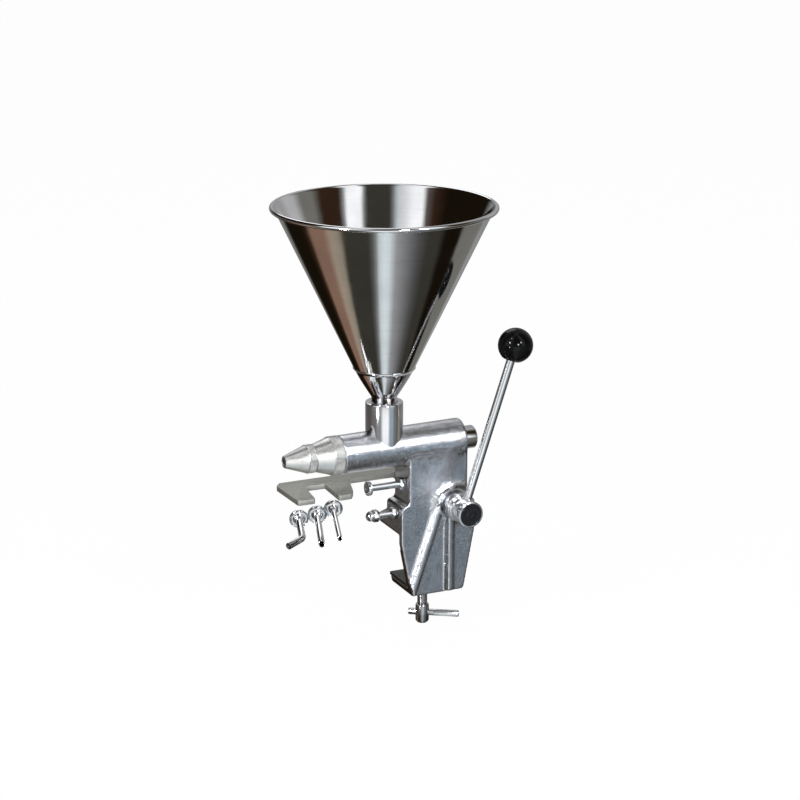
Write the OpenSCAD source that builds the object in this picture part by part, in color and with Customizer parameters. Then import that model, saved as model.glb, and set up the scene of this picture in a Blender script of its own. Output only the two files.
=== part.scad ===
// Hand-operated pastry filling machine that clamps to a table edge.
// A conical hopper feeds a horizontal barrel. A lever swings a crank, the crank
// drives a plunger, and the plunger pushes the filling out through the nose.
// Origin: on the underside of the upper jaw, on the axis of the clamp screw.
// +Z is up, -X is the nose end, -Y is the lever side, the table comes in from +Y.

/* [Layout] */
// Height of the barrel axis above the table seat
barrel_height = 102; // [98:1:130]
// Distance from the clamp screw axis forward to the hopper axis
neck_forward = 59; // [57:0.5:62]
// Distance from the clamp screw axis sideways to the barrel axis
barrel_aside = 21; // [18:0.5:24]

/* [Barrel] */
// Distance from the hopper axis to the front face of the barrel
barrel_front = 56; // [50:1:70]
// Distance from the hopper axis to the rear face of the barrel
barrel_rear = 95; // [90:1:97]
// Radius of the barrel casting at its front
barrel_front_r = 22; // [20:0.5:22]
// Radius of the barrel casting at its rear
barrel_rear_r = 24; // [22:0.5:26]
// Radius of the threaded spigot on the barrel's front
spigot_r = 18.5; // [17:0.5:19]
// Length of the threaded spigot
spigot_len = 12; // [9:0.5:16]

/* [Body] */
// Distance from the hopper axis to the front wall of the body
body_front = 22.5; // [22:0.5:26]
// Distance from the hopper axis to the rear edge of the body
body_rear = 96; // [94:1:98]
// Width of the body across the lever shaft
body_w = 42; // [40:1:46]
// Wall thickness of the body's sides
wall_t = 8; // [6:0.5:9]
// Step by which the lower body stands out past the upper body
body_step = 10; // [8:1:12]
// Height of the step above the table seat
step_height = 30; // [28:1:34]
// Thickness of the floor over the table
floor_t = 12; // [10:1:13]
// Reach of the upper jaw past the body's far wall
jaw_reach = 20; // [14:1:26]
// Thickness of the upper jaw at its far end
jaw_tip_t = 11.5; // [8:0.5:14]
// Height that the ribs stand out of the spine
rib_h = 6; // [4:0.5:8]
// Width of the ribs at their crest
rib_w = 6.2; // [4:0.2:8]

/* [Clamp] */
// Clear height under the upper jaw with the plate down
slot_h = 62; // [50:1:66]
// Thickness of the pressure plate
plate_t = 4; // [3:0.5:6]
// Thickness of the lower jaw
lower_jaw_t = 9.5; // [8:0.5:14]
// Reach of the lower jaw from the inner face of the spine
lower_jaw_reach = 47; // [40:1:54]
// Height of the plate's upright leg
leg_h = 46; // [30:1:46]
// Diameter of the clamp screw
screw_d = 12; // [10:1:14]
// Length of screw that shows under the lower jaw
screw_show = 28; // [20:1:36]
// Diameter of the clamp screw's head
head_d = 16; // [15.5:0.5:20]
// Length of the clamp screw's head
head_len = 23; // [18:1:30]
// Diameter of the sliding bar
bar_d = 8; // [6:0.5:9]
// Length of the sliding bar
bar_len = 60; // [50:1:80]

/* [Neck and hopper] */
// Outer diameter of the neck
neck_d = 43; // [40:0.5:44]
// Height of the neck's top above the barrel axis
neck_top = 56; // [50:1:66]
// Outer diameter of the hopper's rolled rim
rim_d = 254; // [230:1:280]
// Height of the rim above the barrel axis
rim_top = 281.8; // [240:0.2:320]
// Diameter of the rolled edge
rim_roll_d = 5.4; // [3:0.2:7]
// Outer diameter of the hopper at the weld
weld_d = 70; // [60:1:80]
// Height of the weld above the barrel axis
weld_z = 97; // [92:1:104]
// Thickness of the hopper's sheet
sheet_t = 1; // [0.8:0.1:1.5]
// Outer diameter of the hopper's spigot
outlet_d = 29.4; // [26:0.2:30]
// Depth of the spigot inside the neck
outlet_depth = 18; // [12:1:22]

/* [Nose] */
// Radius of the knurled band on the reducer cap
reducer_r = 22.3; // [21.5:0.1:24]
// Width of the knurled band on the reducer cap
reducer_band = 13; // [11:0.5:15]
// Length of the reducer cap's cone
reducer_cone = 18.5; // [16:0.5:22]
// Radius of the knurled band on the nose cap
nose_r = 16.4; // [15.5:0.1:18]
// Width of the knurled band on the nose cap
nose_band = 10; // [9.5:0.5:13]
// Length of the nose cap's cone
nose_cone = 25; // [20:0.5:32]
// Outer radius of the nose cap's tip
tip_r = 7; // [6:0.25:9]
// Radius of the hole in the tip
tip_hole_r = 4.6; // [4.5:0.1:5.5]

/* [Plunger and lever] */
// Diameter of the plunger
plunger_d = 27; // [25:0.5:28]
// Length of the plunger
plunger_len = 99.5; // [98:0.5:104]
// Distance from the hopper axis back to the lever shaft
shaft_back = 75.5; // [74:0.5:77]
// Height of the lever shaft above the table seat
shaft_height = 33.7; // [32:0.1:36]
// Diameter of the lever shaft
shaft_d = 16; // [14:1:16]
// Lean of the lever to the rear at rest
lever_lean = 18.6; // [16:0.1:20]
// Swing of the lever from rest to the end of its stroke
lever_swing = 25; // [20:0.5:25]
// Length of the lever from the shaft to the knob's centre
lever_len = 197.5; // [150:0.5:260]
// Diameter of the lever rod
rod_d = 10; // [8:0.5:12]
// Diameter of the ball knob
knob_d = 40; // [30:1:50]
// Radius of the shaft boss
boss_r = 16.3; // [14:0.1:18]
// Length of the shaft boss
boss_len = 24; // [18:1:30]
// Radius of the lever hub
hub_r = 14.6; // [12.5:0.1:15]
// Length of the lever hub
hub_len = 23; // [18:1:28]

/* [Stop screws] */
// Diameter of the stop screws
stop_d = 8; // [6:0.5:8]
// Offset of the stop screws from the barrel plane, to the lever side
stop_aside = 5; // [0:0.5:5]
// Drop of the upper stop screw below the barrel axis
upper_stop_drop = 43.5; // [42:0.5:46]
// Height of the lower stop screw above the table seat
lower_stop_height = 24.5; // [23:0.5:25]
// Distance from the hopper axis forward to the back of the upper head
upper_head_forward = 19.5; // [10:0.5:30]
// Distance from the hopper axis forward to the back of the cap nut
cap_nut_forward = 10.5; // [4:0.5:20]

/* [Rest fork] */
// Drop of the fork's top face below the barrel axis
fork_drop = 38.4; // [36:0.2:42]
// Thickness of the fork
fork_t = 6; // [4:0.5:8]
// Distance from the hopper axis forward to the fork's outer edge
fork_forward = 118; // [110:1:124]
// Distance from the hopper axis forward to the middle of the notch
notch_forward = 78.7; // [76:0.5:82]
// Width of the notch at its bottom
notch_w = 24.5; // [20:0.5:30]
// Reach of the prongs past the barrel axis, to the lever side
prong_reach = 27; // [20:1:34]

/* [Loose nozzles] */
// Diameter of the nozzles' flanges
flange_d = 22.4; // [20:0.2:23]
// Diameter of the wide tube
wide_d = 7.2; // [6:0.1:9]
// Diameter of the narrow tube
narrow_d = 5.6; // [4:0.1:7]
// Diameter of the bent tube
bent_d = 8; // [6:0.1:9]
// Length of the wide and narrow nozzles
nozzle_len = 84; // [60:1:100]
// Distance from the hopper axis forward to the bent nozzle's flange
bent_forward = 82; // [78:1:100]
// Distance from the barrel axis aside to the bent nozzle's flange
bent_aside = 58; // [54:1:62]
// Distance from the hopper axis forward to the wide nozzle's flange
wide_forward = 57; // [55:1:59]
// Distance from the barrel axis aside to the wide nozzle's flange
wide_aside = 63; // [60:1:66]
// Distance from the hopper axis forward to the narrow nozzle's flange
narrow_forward = 32; // [10:1:34]
// Distance from the barrel axis aside to the narrow nozzle's flange
narrow_aside = 74; // [70:1:76]

/* [Fits] */
// Radial clearance of turning and sliding round fits
run_fit = 0.05; // [0.02:0.01:0.1]
// Gap between faces of parts that move past each other
face_gap = 0.3; // [0.2:0.05:0.5]
// Clearance of the crank's end in the plunger's pocket
pocket_gap = 0.5; // [0.4:0.05:0.8]

/* [Hidden] */
$fn = 96;

cut = 1;
near_y = -body_w / 2;
far_y = body_w / 2;
near_in = near_y + wall_t;
far_in = far_y - wall_t;
seat_z = -barrel_height;
floor_z = seat_z + floor_t;
step_z = seat_z + step_height + body_step;
low_front = body_front - body_step;
low_rear = body_rear + body_step;
plate_z = seat_z - slot_h;
lower_jaw_z = plate_z - plate_t;
bottom_z = lower_jaw_z - lower_jaw_t;
front_taper_z = seat_z - 10;
rear_taper_z = seat_z - 2;
bottom_front = low_front + 12.5;
bottom_rear = low_rear - 13;
lower_jaw_far = near_in + lower_jaw_reach;
rib_foot = 2;
shaft_drop = barrel_height - shaft_height;
lower_stop_drop = barrel_height - lower_stop_height;
beyond = 200;

snug = 0.02;
bore_r = plunger_d / 2 + run_fit;
seal_d = 2.6;
groove_w = seal_d + 0.6;
slot_w = 12;
crank_t = 10;
crank_hub_r = 15;
crank_hub_w = 18;
crank_r = shaft_drop;
key_w = 5;
key_len = crank_hub_w - 2;
set_r = 2.5;
pin_r = 6;
arm_root = 10;
arm_tip = 4.5;
heel_back = 15.8;
heel_low = 12.7;
pin_x = shaft_back + crank_r * sin(lever_lean);
plunger_rear = pin_x + 15.7;
plunger_front = plunger_rear - plunger_len;
seal_x = [plunger_front + 6, plunger_front + 13];
forward_lean = lever_swing - lever_lean;
port_r = 12.5;

bush_t = 2;
shaft_r = shaft_d / 2;
boss_end = near_y - boss_len;
far_boss_len = 4;
far_boss_end = far_y + far_boss_len;
hub_near = boss_end - face_gap - hub_len;
hub_far = boss_end - face_gap;
rod_y = hub_far - 7.5;
rod_top = lever_len - 8;
knob_flat = knob_d * 0.445;
bezel_t = 3.7;
bezel_r = hub_r + 0.6;
cap_r = bezel_r - 2.2;
cap_sink = 1;
shaft_tip = hub_near + 4;
clip_y = far_boss_end + face_gap;
clip_t = 1.2;

neck_r = neck_d / 2;
neck_step = 0.5;
outlet_r = outlet_d / 2;
outlet_in = outlet_r - sheet_t;
outlet_low = neck_top - outlet_depth;
lead_z = neck_top + 6;
rim_z = rim_top - rim_roll_d / 2;
rim_r = rim_d / 2 - rim_roll_d / 2;
cone_top_r = rim_r - rim_roll_d / 2 + sheet_t / 2;
weld_r = weld_d / 2;
cone_slope = (cone_top_r - weld_r) / (rim_z - weld_z);
sheet_run = sheet_t * norm([cone_slope, 1]);

spigot_front = -barrel_front - spigot_len;
gasket_t = 1;
reducer_rear = -barrel_front - face_gap;
reducer_mid = reducer_rear - reducer_band;
reducer_tip = reducer_mid - reducer_cone;
reducer_tip_r = nose_r - 0.8;
reducer_seat = spigot_front - face_gap - gasket_t;
reducer_bore = 9;
nose_thread_r = nose_r - 4;
nose_thread_len = 8;
stub_front = reducer_tip - nose_thread_len;
nose_rear = reducer_tip - face_gap;
nose_mid = nose_rear - nose_band;
nose_tip = nose_mid - nose_cone;
nose_seat = stub_front - face_gap - gasket_t;

stop_r = stop_d / 2;
nut_af = 13;
nut_h = 6.5;
stop_y = -stop_aside;
upper_z = -upper_stop_drop;
lower_z = -lower_stop_drop;
upper_rise = shaft_drop - upper_stop_drop;
upper_arm_half = arm_root - (arm_root - arm_tip) * upper_rise / cos(forward_lean) / crank_r;
upper_arm_back = (upper_rise + stop_r) * tan(forward_lean) + upper_arm_half / cos(forward_lean);
hub_over = max(0, upper_rise - stop_r);
upper_hub_back = sqrt(max(0, pow(crank_hub_r, 2) - pow(hub_over, 2)));
upper_back = max(upper_arm_back, upper_hub_back);
upper_tip = shaft_back - upper_back - face_gap;
lower_tip = shaft_back - heel_back - face_gap;
upper_head_t = 5;
upper_head_r = 8.5;
cap_nut_len = 14.5;

screw_r = screw_d / 2;
screw_x = neck_forward;
screw_y = barrel_aside;
head_top = bottom_z - screw_show;
head_bottom = head_top - head_len;
bar_z = head_top - head_len * 0.46;
bar_turn = -33;
bar_shift = 13.5;
leg_t = 3;
leg_top = lower_jaw_z + leg_h;
pivot_r = screw_r - 2;
pivot_len = plate_t / 2;

fork_z = -fork_drop;
fork_low = fork_z - fork_t;
arm_near = far_y + 1;
arm_far = arm_near + 20;
lug_front = 30;
lug_rear = shaft_back - boss_r - 1;
lug_t = 8;
fork_screw_r = 3;
fork_screw_y = (arm_near + arm_far) / 2;
fork_screw_x = [lug_front + 7, lug_rear - 7];

flange_r = flange_d / 2;
flange_t = 2.2;
tube_t = 0.7;
collar = 1.6;
collar_len = 5;
tip_bevel = 30;
wide_heading = 250.8;
narrow_heading = 252.2;
bent_heading = 252;
bent_straight = 50;
bend_r = 10;
bend_turn = 42;
bent_end = 22;

// Moves children from the barrel's own frame to the part's frame.
// The barrel's frame has its origin where the hopper axis meets the barrel axis.
module at_barrel() {
  translate([-neck_forward, -barrel_aside, barrel_height]) children();
}

// A round bar along X between two stations, with a radius at each end.
module x_bar(x0, x1, r0, r1) {
  translate([x0, 0, 0]) rotate([0, 90, 0]) cylinder(h = x1 - x0, r1 = r0, r2 = r1);
}

// A round bar along Y between two stations.
module y_bar(y0, y1, r) {
  translate([0, y0, 0]) rotate([-90, 0, 0]) cylinder(h = y1 - y0, r = r);
}

// Extrudes an outline drawn in X and Z along Y.
module y_slab(y0, y1) {
  translate([0, y1, 0]) rotate([90, 0, 0]) linear_extrude(y1 - y0) children();
}

// A box between two corners.
module span(low, high) {
  translate(low) cube(high - low);
}

// Points of an arc in a plane.
function arc(centre, r, from, to, steps = 6) = [
  for (i = [0:steps]) let(a = from + (to - from) * i / steps) centre + r * [cos(a), sin(a)]
];

// Outline of the body and spine, seen from the lever side.
module spine_outline() {
  bend = body_step / 2;
  foot = 5;
  polygon(concat(
    [[body_front, 0]],
    arc([body_front - bend, step_z - bend + bend], bend, 0, -90),
    arc([low_front + bend, step_z - body_step], bend, 90, 180),
    [[low_front, front_taper_z]],
    [[bottom_front, bottom_z + 2], [bottom_front + 2, bottom_z]],
    arc([bottom_rear - foot, bottom_z + foot], foot, 270, 350),
    [[low_rear, rear_taper_z]],
    arc([low_rear - bend, step_z - body_step], bend, 0, 90),
    arc([body_rear + bend, step_z], bend, 270, 180),
    [[body_rear, 0]]
  ));
}

module outline_between(low, high) {
  intersection() {
    spine_outline();
    translate([-beyond, low]) square([2 * beyond, high - low]);
  }
}

// Upper jaw past the far wall, sloping to its tip.
module upper_jaw() {
  tip_y = far_y + jaw_reach;
  translate([low_front, 0, 0]) rotate([90, 0, 90]) linear_extrude(low_rear - low_front)
    polygon([[far_y - cut, seat_z], [tip_y, seat_z], [tip_y, seat_z + jaw_tip_t],
             [far_y, seat_z + 22], [far_y - cut, seat_z + 22]]);
}

// A rib with sloping flanks from a foot on the spine, along a lean, to the boss.
module rib(foot_x, lean, len, flank_front, flank_rear) {
  crest = rib_w / 2;
  translate([foot_x, near_y + cut, bottom_z]) rotate([0, lean, 0]) linear_extrude(len)
    polygon([
      [-crest - flank_front, 0], [-crest, -rib_h - cut], [crest, -rib_h - cut], [crest + flank_rear, 0]
    ]);
}

// A hollow fillet round the foot of the boss, standing on the wall.
module boss_fillet() {
  f = rib_h + 1;
  rotate_extrude() polygon(concat([[0, 0]], arc([boss_r + f, f], f, 270, 180), [[0, f]]));
}

// The front rib runs at a tangent to the boss, the rear rib straight up to it.
module ribs() {
  foot_x = bottom_front - 1.7;
  run = [shaft_back - foot_x, -shaft_drop - bottom_z];
  off = boss_r - rib_w / 2;
  lean = atan2(run[0], run[1]) - asin(off / norm(run));
  front_len = sqrt(run * run - off * off);
  intersection() {
    union() {
      rib(foot_x, lean, front_len, 5, 2);
      rib(shaft_back - 2.9, 0, run[1], 3, 3);
    }
    y_slab(near_y - rib_h, near_y + cut) outline_between(bottom_z + rib_foot, 0);
  }
}

module shaft_line() {
  translate([shaft_back, 0, -shaft_drop]) children();
}

module body_casting() {
  color([0.72, 0.74, 0.77]) at_barrel() difference() {
    union() {
      x_bar(-barrel_front, barrel_rear, barrel_front_r, barrel_rear_r);
      x_bar(spigot_front, -barrel_front + cut, spigot_r, spigot_r);
      y_slab(near_y, far_y) outline_between(seat_z, 0);
      y_slab(near_y, near_in) spine_outline();
      y_slab(near_y, lower_jaw_far) outline_between(bottom_z, lower_jaw_z);
      upper_jaw();
      ribs();
      shaft_line() {
        y_bar(boss_end, near_y + cut, boss_r);
        translate([0, near_y, 0]) rotate([90, 0, 0]) boss_fillet();
        y_bar(far_y - cut, far_boss_end, boss_r);
      }
      span([lug_front, far_y - cut, fork_low - lug_t], [lug_rear, arm_far, fork_low]);
    }
    // Bore for the plunger and port for the filling
    x_bar(spigot_front - cut, barrel_rear + cut, bore_r, bore_r);
    cylinder(h = barrel_rear_r + cut, r = port_r);
    // Room for the crank, open to the rear
    span([body_front + wall_t, near_in, floor_z], [low_rear + cut, far_in, -17]);
    span([body_front + wall_t, -slot_w / 2, -18], [low_rear + cut, slot_w / 2, 0]);
    // Seats of the shaft bushes
    shaft_line() y_bar(boss_end - cut, far_boss_end + cut, shaft_r + bush_t);
    // Threads of the stop screws
    translate([0, stop_y, upper_z]) x_bar(0, body_front + wall_t + cut, stop_r + run_fit, stop_r + run_fit);
    translate([0, stop_y, lower_z]) x_bar(0, body_front + wall_t + cut, stop_r + run_fit, stop_r + run_fit);
    // Thread of the clamp screw
    translate([screw_x, screw_y, bottom_z - cut]) cylinder(h = lower_jaw_t + 2 * cut, r = screw_r + run_fit);
    // Threads of the fork screws
    for (x = fork_screw_x) translate([x, fork_screw_y, fork_low - lug_t - cut])
      cylinder(h = lug_t + 2 * cut, r = fork_screw_r);
  }
}

module neck_tube() {
  seat_r = outlet_in - neck_step;
  fit_r = outlet_r + run_fit;
  edge = 1;
  color([0.80, 0.81, 0.83]) at_barrel() difference() {
    rotate_extrude() polygon([
      [seat_r, 0], [neck_r, 0], [neck_r, neck_top - edge], [neck_r - edge, neck_top],
      [fit_r + edge, neck_top], [fit_r, neck_top - edge], [fit_r, outlet_low - face_gap],
      [seat_r, outlet_low - face_gap]
    ]);
    x_bar(-barrel_front, barrel_rear, barrel_front_r, barrel_rear_r);
  }
}

module hopper_cone() {
  color([0.83, 0.84, 0.86]) at_barrel() rotate_extrude() union() {
    polygon([
      [weld_r, weld_z], [cone_top_r, rim_z], [cone_top_r - sheet_run, rim_z], [weld_r - sheet_run, weld_z]
    ]);
    translate([rim_r, rim_z]) circle(d = rim_roll_d, $fn = 32);
  }
}

// Radius and height along the curve from the weld down to the spigot.
function bend(t, radial) = let(
    a = [weld_r - radial, weld_z],
    b = a - 16 * [cone_slope, 1],
    d = [outlet_r - radial, lead_z],
    c = d + [2.3, 4])
  pow(1 - t, 3) * a + 3 * t * pow(1 - t, 2) * b + 3 * t * t * (1 - t) * c + pow(t, 3) * d;

module hopper_outlet() {
  steps = 12;
  color([0.81, 0.82, 0.84]) at_barrel() rotate_extrude() polygon(concat(
    [for (i = [0:steps]) bend(i / steps, 0)],
    [[outlet_r, outlet_low], [outlet_in, outlet_low], [outlet_in, lead_z]],
    [for (i = [steps - 1:-1:0]) bend(i / steps, sheet_run)]
  ));
}

module reducer_cap() {
  thread_r = spigot_r + run_fit;
  edge = 0.8;
  lead = 6;
  color([0.78, 0.79, 0.80]) at_barrel() rotate([0, -90, 0]) rotate_extrude() polygon([
    [thread_r, -reducer_rear], [reducer_r - edge, -reducer_rear], [reducer_r, -reducer_rear + edge],
    [reducer_r, -reducer_mid - edge], [reducer_r - edge, -reducer_mid],
    [reducer_tip_r, -reducer_tip], [nose_thread_r, -reducer_tip],
    [nose_thread_r, -stub_front], [reducer_bore, -stub_front],
    [reducer_bore, -reducer_tip - lead], [bore_r, -reducer_seat + 1], [bore_r, -reducer_seat],
    [thread_r, -reducer_seat]
  ]);
}

// A flat ring along X.
module gasket(front, outer, inner) {
  color([0.92, 0.92, 0.90]) at_barrel() difference() {
    x_bar(front, front + gasket_t, outer, outer);
    x_bar(front - cut, front + gasket_t + cut, inner, inner);
  }
}

module barrel_gasket() {
  gasket(reducer_seat, spigot_r - 0.5, bore_r + 0.5);
}

module nose_cap() {
  thread_r = nose_thread_r + run_fit;
  edge = 0.6;
  land = 6;
  color([0.79, 0.80, 0.81]) at_barrel() rotate([0, -90, 0]) rotate_extrude() polygon([
    [thread_r, -nose_rear], [nose_r - edge, -nose_rear], [nose_r, -nose_rear + edge],
    [nose_r, -nose_mid - edge], [nose_r - edge, -nose_mid], [tip_r, -nose_tip - edge],
    [tip_r - edge, -nose_tip], [tip_hole_r, -nose_tip], [tip_hole_r, -nose_tip - land],
    [thread_r - 0.8, -nose_seat], [thread_r, -nose_seat]
  ]);
}

module nose_gasket() {
  gasket(nose_seat, nose_thread_r - 0.3, reducer_bore + 0.6);
}

module seal_ring(x, r, thick) {
  translate([x, 0, 0]) rotate([0, 90, 0]) rotate_extrude()
    translate([r - thick / 2, 0]) circle(d = thick, $fn = 32);
}

module plunger() {
  half = pin_r + pocket_gap;
  foot = half + 4;
  r = plunger_d / 2;
  edge = 1.5;
  color([0.82, 0.83, 0.85]) at_barrel() difference() {
    rotate([0, 90, 0]) rotate_extrude() polygon([
      [0, plunger_front], [r - edge, plunger_front], [r, plunger_front + edge],
      [r, plunger_rear - edge], [r - edge, plunger_rear], [0, plunger_rear]
    ]);
    for (x = seal_x) difference() {
      x_bar(x - groove_w / 2, x + groove_w / 2, r + cut, r + cut);
      x_bar(x - groove_w, x + groove_w, r - seal_d - run_fit, r - seal_d - run_fit);
    }
    translate([pin_x, 0, 0]) y_slab(-crank_t / 2 - pocket_gap, crank_t / 2 + pocket_gap)
      polygon([
        [-half, half], [half, half], [half, -half], [foot, -r - cut], [-foot, -r - cut], [-half, -half]
      ]);
  }
}

module plunger_seals() {
  color([0.15, 0.15, 0.16]) at_barrel()
    for (x = seal_x) seal_ring(x, plunger_d / 2 - snug, seal_d);
}

// The crank in its own frame, upright with the shaft at the origin.
module crank_blank() {
  y_slab(-crank_t / 2, crank_t / 2) {
    polygon([[-arm_root, 0], [arm_root, 0], [arm_tip, crank_r], [-arm_tip, crank_r]]);
    translate([0, crank_r]) circle(r = pin_r);
  }
  y_bar(-crank_hub_w / 2, crank_hub_w / 2, crank_hub_r);
}

module crank_arm() {
  color([0.66, 0.67, 0.69]) at_barrel() shaft_line() difference() {
    union() {
      rotate([0, lever_lean, 0]) crank_blank();
      y_slab(-crank_t / 2, crank_t / 2) polygon([
        [-heel_back, -2], [-heel_back, -heel_low], [0, -heel_low], [0, 0]
      ]);
    }
    y_bar(-crank_hub_w, crank_hub_w, shaft_r + snug);
    rotate([0, lever_lean, 0]) {
      key_block(0, crank_hub_w / 2 + cut);
      translate([0, 0, -crank_hub_r - cut]) cylinder(h = crank_hub_r, r = set_r);
    }
  }
}

// The key's block in the crank's frame, smaller all round by a gap.
module key_block(gap, half_len) {
  half = key_w / 2 - gap;
  span([shaft_r - half, -half_len, -half], [shaft_r + half, half_len, half]);
}

module crank_key() {
  color([0.55, 0.56, 0.58]) at_barrel() shaft_line() rotate([0, lever_lean, 0]) key_block(snug, key_len / 2);
}

module crank_set_screw() {
  color([0.35, 0.35, 0.37]) at_barrel() shaft_line() rotate([0, lever_lean, 0])
    translate([0, 0, -crank_hub_r + 0.5]) cylinder(h = crank_hub_r - shaft_r - 0.6, r = set_r - snug);
}

module lever_shaft() {
  groove_r = shaft_r - 1;
  color([0.78, 0.79, 0.80]) at_barrel() shaft_line() difference() {
    y_bar(shaft_tip, clip_y + clip_t + 2, shaft_r);
    difference() {
      y_bar(clip_y, clip_y + clip_t, shaft_r + cut);
      y_bar(clip_y - cut, clip_y + clip_t + cut, groove_r);
    }
    rotate([0, lever_lean, 0]) key_block(0, key_len / 2 + snug);
  }
}

module bush(y0, y1) {
  difference() {
    y_bar(y0, y1, shaft_r + bush_t - snug);
    y_bar(y0 - cut, y1 + cut, shaft_r + run_fit);
  }
}

module shaft_bushes() {
  color([0.72, 0.52, 0.27]) at_barrel() shaft_line() {
    bush(boss_end, near_in);
    bush(far_in, far_boss_end);
  }
}

module shaft_circlip() {
  color([0.3, 0.3, 0.32]) at_barrel() shaft_line() difference() {
    y_bar(clip_y + 0.05, clip_y + clip_t - 0.05, shaft_r + 2.5);
    y_bar(clip_y - cut, clip_y + clip_t + cut, shaft_r - 0.95);
    span([-2.5, clip_y - cut, -shaft_r - 4], [2.5, clip_y + clip_t + cut, 0]);
  }
}

// Moves children up the lever's own line, at the lever's side station.
module on_lever() {
  translate([shaft_back, rod_y, -shaft_drop]) rotate([0, lever_lean, 0]) children();
}

module lever_hub() {
  color([0.80, 0.81, 0.83]) at_barrel() difference() {
    shaft_line() difference() {
      y_bar(hub_near, hub_far, hub_r);
      y_bar(shaft_tip - 0.1, hub_far + cut, shaft_r + snug);
    }
    on_lever() cylinder(h = hub_r + 2, r = rod_d / 2 + snug);
  }
}

module hub_bezel() {
  color([0.85, 0.86, 0.88]) at_barrel() shaft_line() difference() {
    y_bar(hub_near - bezel_t, hub_near, bezel_r);
    y_bar(hub_near - bezel_t - cut, hub_near - cap_sink, cap_r + run_fit);
  }
}

module hub_cap() {
  t = bezel_t - cap_sink;
  color([0.08, 0.08, 0.09]) at_barrel() translate([shaft_back, hub_near - cap_sink, -shaft_drop])
    rotate([90, 0, 0]) rotate_extrude()
      polygon([[0, 0], [cap_r, 0], [cap_r, t], [cap_r - 0.8, t + 0.5], [0, t + 0.6]]);
}

module lever_rod() {
  color([0.82, 0.83, 0.84]) at_barrel() on_lever()
    translate([0, 0, shaft_r + 0.1]) cylinder(h = rod_top - shaft_r - 0.1, d = rod_d);
}

module lever_knob() {
  color([0.06, 0.06, 0.07]) at_barrel() on_lever() translate([0, 0, lever_len]) difference() {
    intersection() {
      sphere(d = knob_d);
      translate([0, 0, -knob_flat]) cylinder(h = knob_d + cut, d = knob_d + cut);
    }
    translate([0, 0, -knob_flat - cut])
      cylinder(h = knob_flat + cut + rod_top + 0.1 - lever_len, r = rod_d / 2 + snug);
  }
}

// A hexagonal nut body along X, with its corners turned off.
module hex_x(x0, x1, across) {
  corner_r = across / 2 / cos(30);
  intersection() {
    translate([x0, 0, 0]) rotate([0, 90, 0]) cylinder(h = x1 - x0, r = corner_r, $fn = 6);
    translate([x0, 0, 0]) rotate([0, 90, 0]) rotate_extrude() polygon([
      [0, 0], [across / 2, 0], [corner_r + 0.2, 1], [corner_r + 0.2, x1 - x0 - 1], [across / 2, x1 - x0],
      [0, x1 - x0]
    ]);
  }
}

module stop_rod(z, x0, x1) {
  translate([0, stop_y, z]) x_bar(x0, x1, stop_r, stop_r);
}

module stop_nut(z, face_x) {
  translate([0, stop_y, z]) difference() {
    hex_x(face_x - face_gap - nut_h, face_x - face_gap, nut_af);
    x_bar(face_x - nut_h - 2, face_x + cut, stop_r + run_fit, stop_r + run_fit);
  }
}

module upper_stop_screw() {
  color([0.80, 0.81, 0.82]) at_barrel() {
    stop_rod(upper_z, -upper_head_forward - cut, upper_tip);
    translate([-upper_head_forward, stop_y, upper_z]) rotate([0, -90, 0]) rotate_extrude() polygon([
      [0, 0], [upper_head_r - 0.8, 0], [upper_head_r, 0.8], [upper_head_r, upper_head_t - 1],
      [upper_head_r - 1, upper_head_t], [0, upper_head_t]
    ]);
  }
}

module upper_lock_nut() {
  color([0.80, 0.81, 0.82]) at_barrel() stop_nut(upper_z, body_front);
}

module lower_stop_stud() {
  color([0.80, 0.81, 0.82]) at_barrel() stop_rod(lower_z, -cap_nut_forward - 6, lower_tip);
}

module lower_cap_nut() {
  hex_len = 6.5;
  dome = cap_nut_len - hex_len;
  color([0.80, 0.81, 0.82]) at_barrel() translate([0, stop_y, lower_z]) difference() {
    union() {
      hex_x(-cap_nut_forward - hex_len, -cap_nut_forward, nut_af);
      translate([-cap_nut_forward - hex_len, 0, 0]) rotate([0, -90, 0]) rotate_extrude() polygon(concat(
        [[0, 0]], [for (a = [0:9:90]) [6.1 * cos(a), dome - 6.1 + 6.1 * sin(a)]]
      ));
      x_bar(-cap_nut_forward - hex_len - 2, -cap_nut_forward - hex_len, 6.1, 6.1);
    }
    x_bar(-cap_nut_forward - 6.02, -cap_nut_forward + cut, stop_r + 0.02, stop_r + 0.02);
  }
}

module lower_lock_nut() {
  color([0.80, 0.81, 0.82]) at_barrel() stop_nut(lower_z, low_front);
}

module pressure_plate() {
  inner = near_in + face_gap;
  under = lower_jaw_z + face_gap;
  inset = 1;
  plate_bend = 1.5;
  color([0.30, 0.30, 0.30]) at_barrel() difference() {
    union() {
      y_slab(inner, inner + leg_t) intersection() {
        translate([inset, 0]) spine_outline();
        translate([-inset, 0]) spine_outline();
        translate([-beyond, under]) square([2 * beyond, leg_top - under]);
      }
      span([bottom_front - 2, inner, under], [bottom_rear, lower_jaw_far, plate_z]);
      span([bottom_front - 2, inner, under], [bottom_rear, inner + leg_t, plate_z + plate_bend]);
    }
    translate([screw_x, screw_y, under - cut])
      cylinder(h = pivot_len + face_gap + cut, r = pivot_r + run_fit);
  }
}

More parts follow.
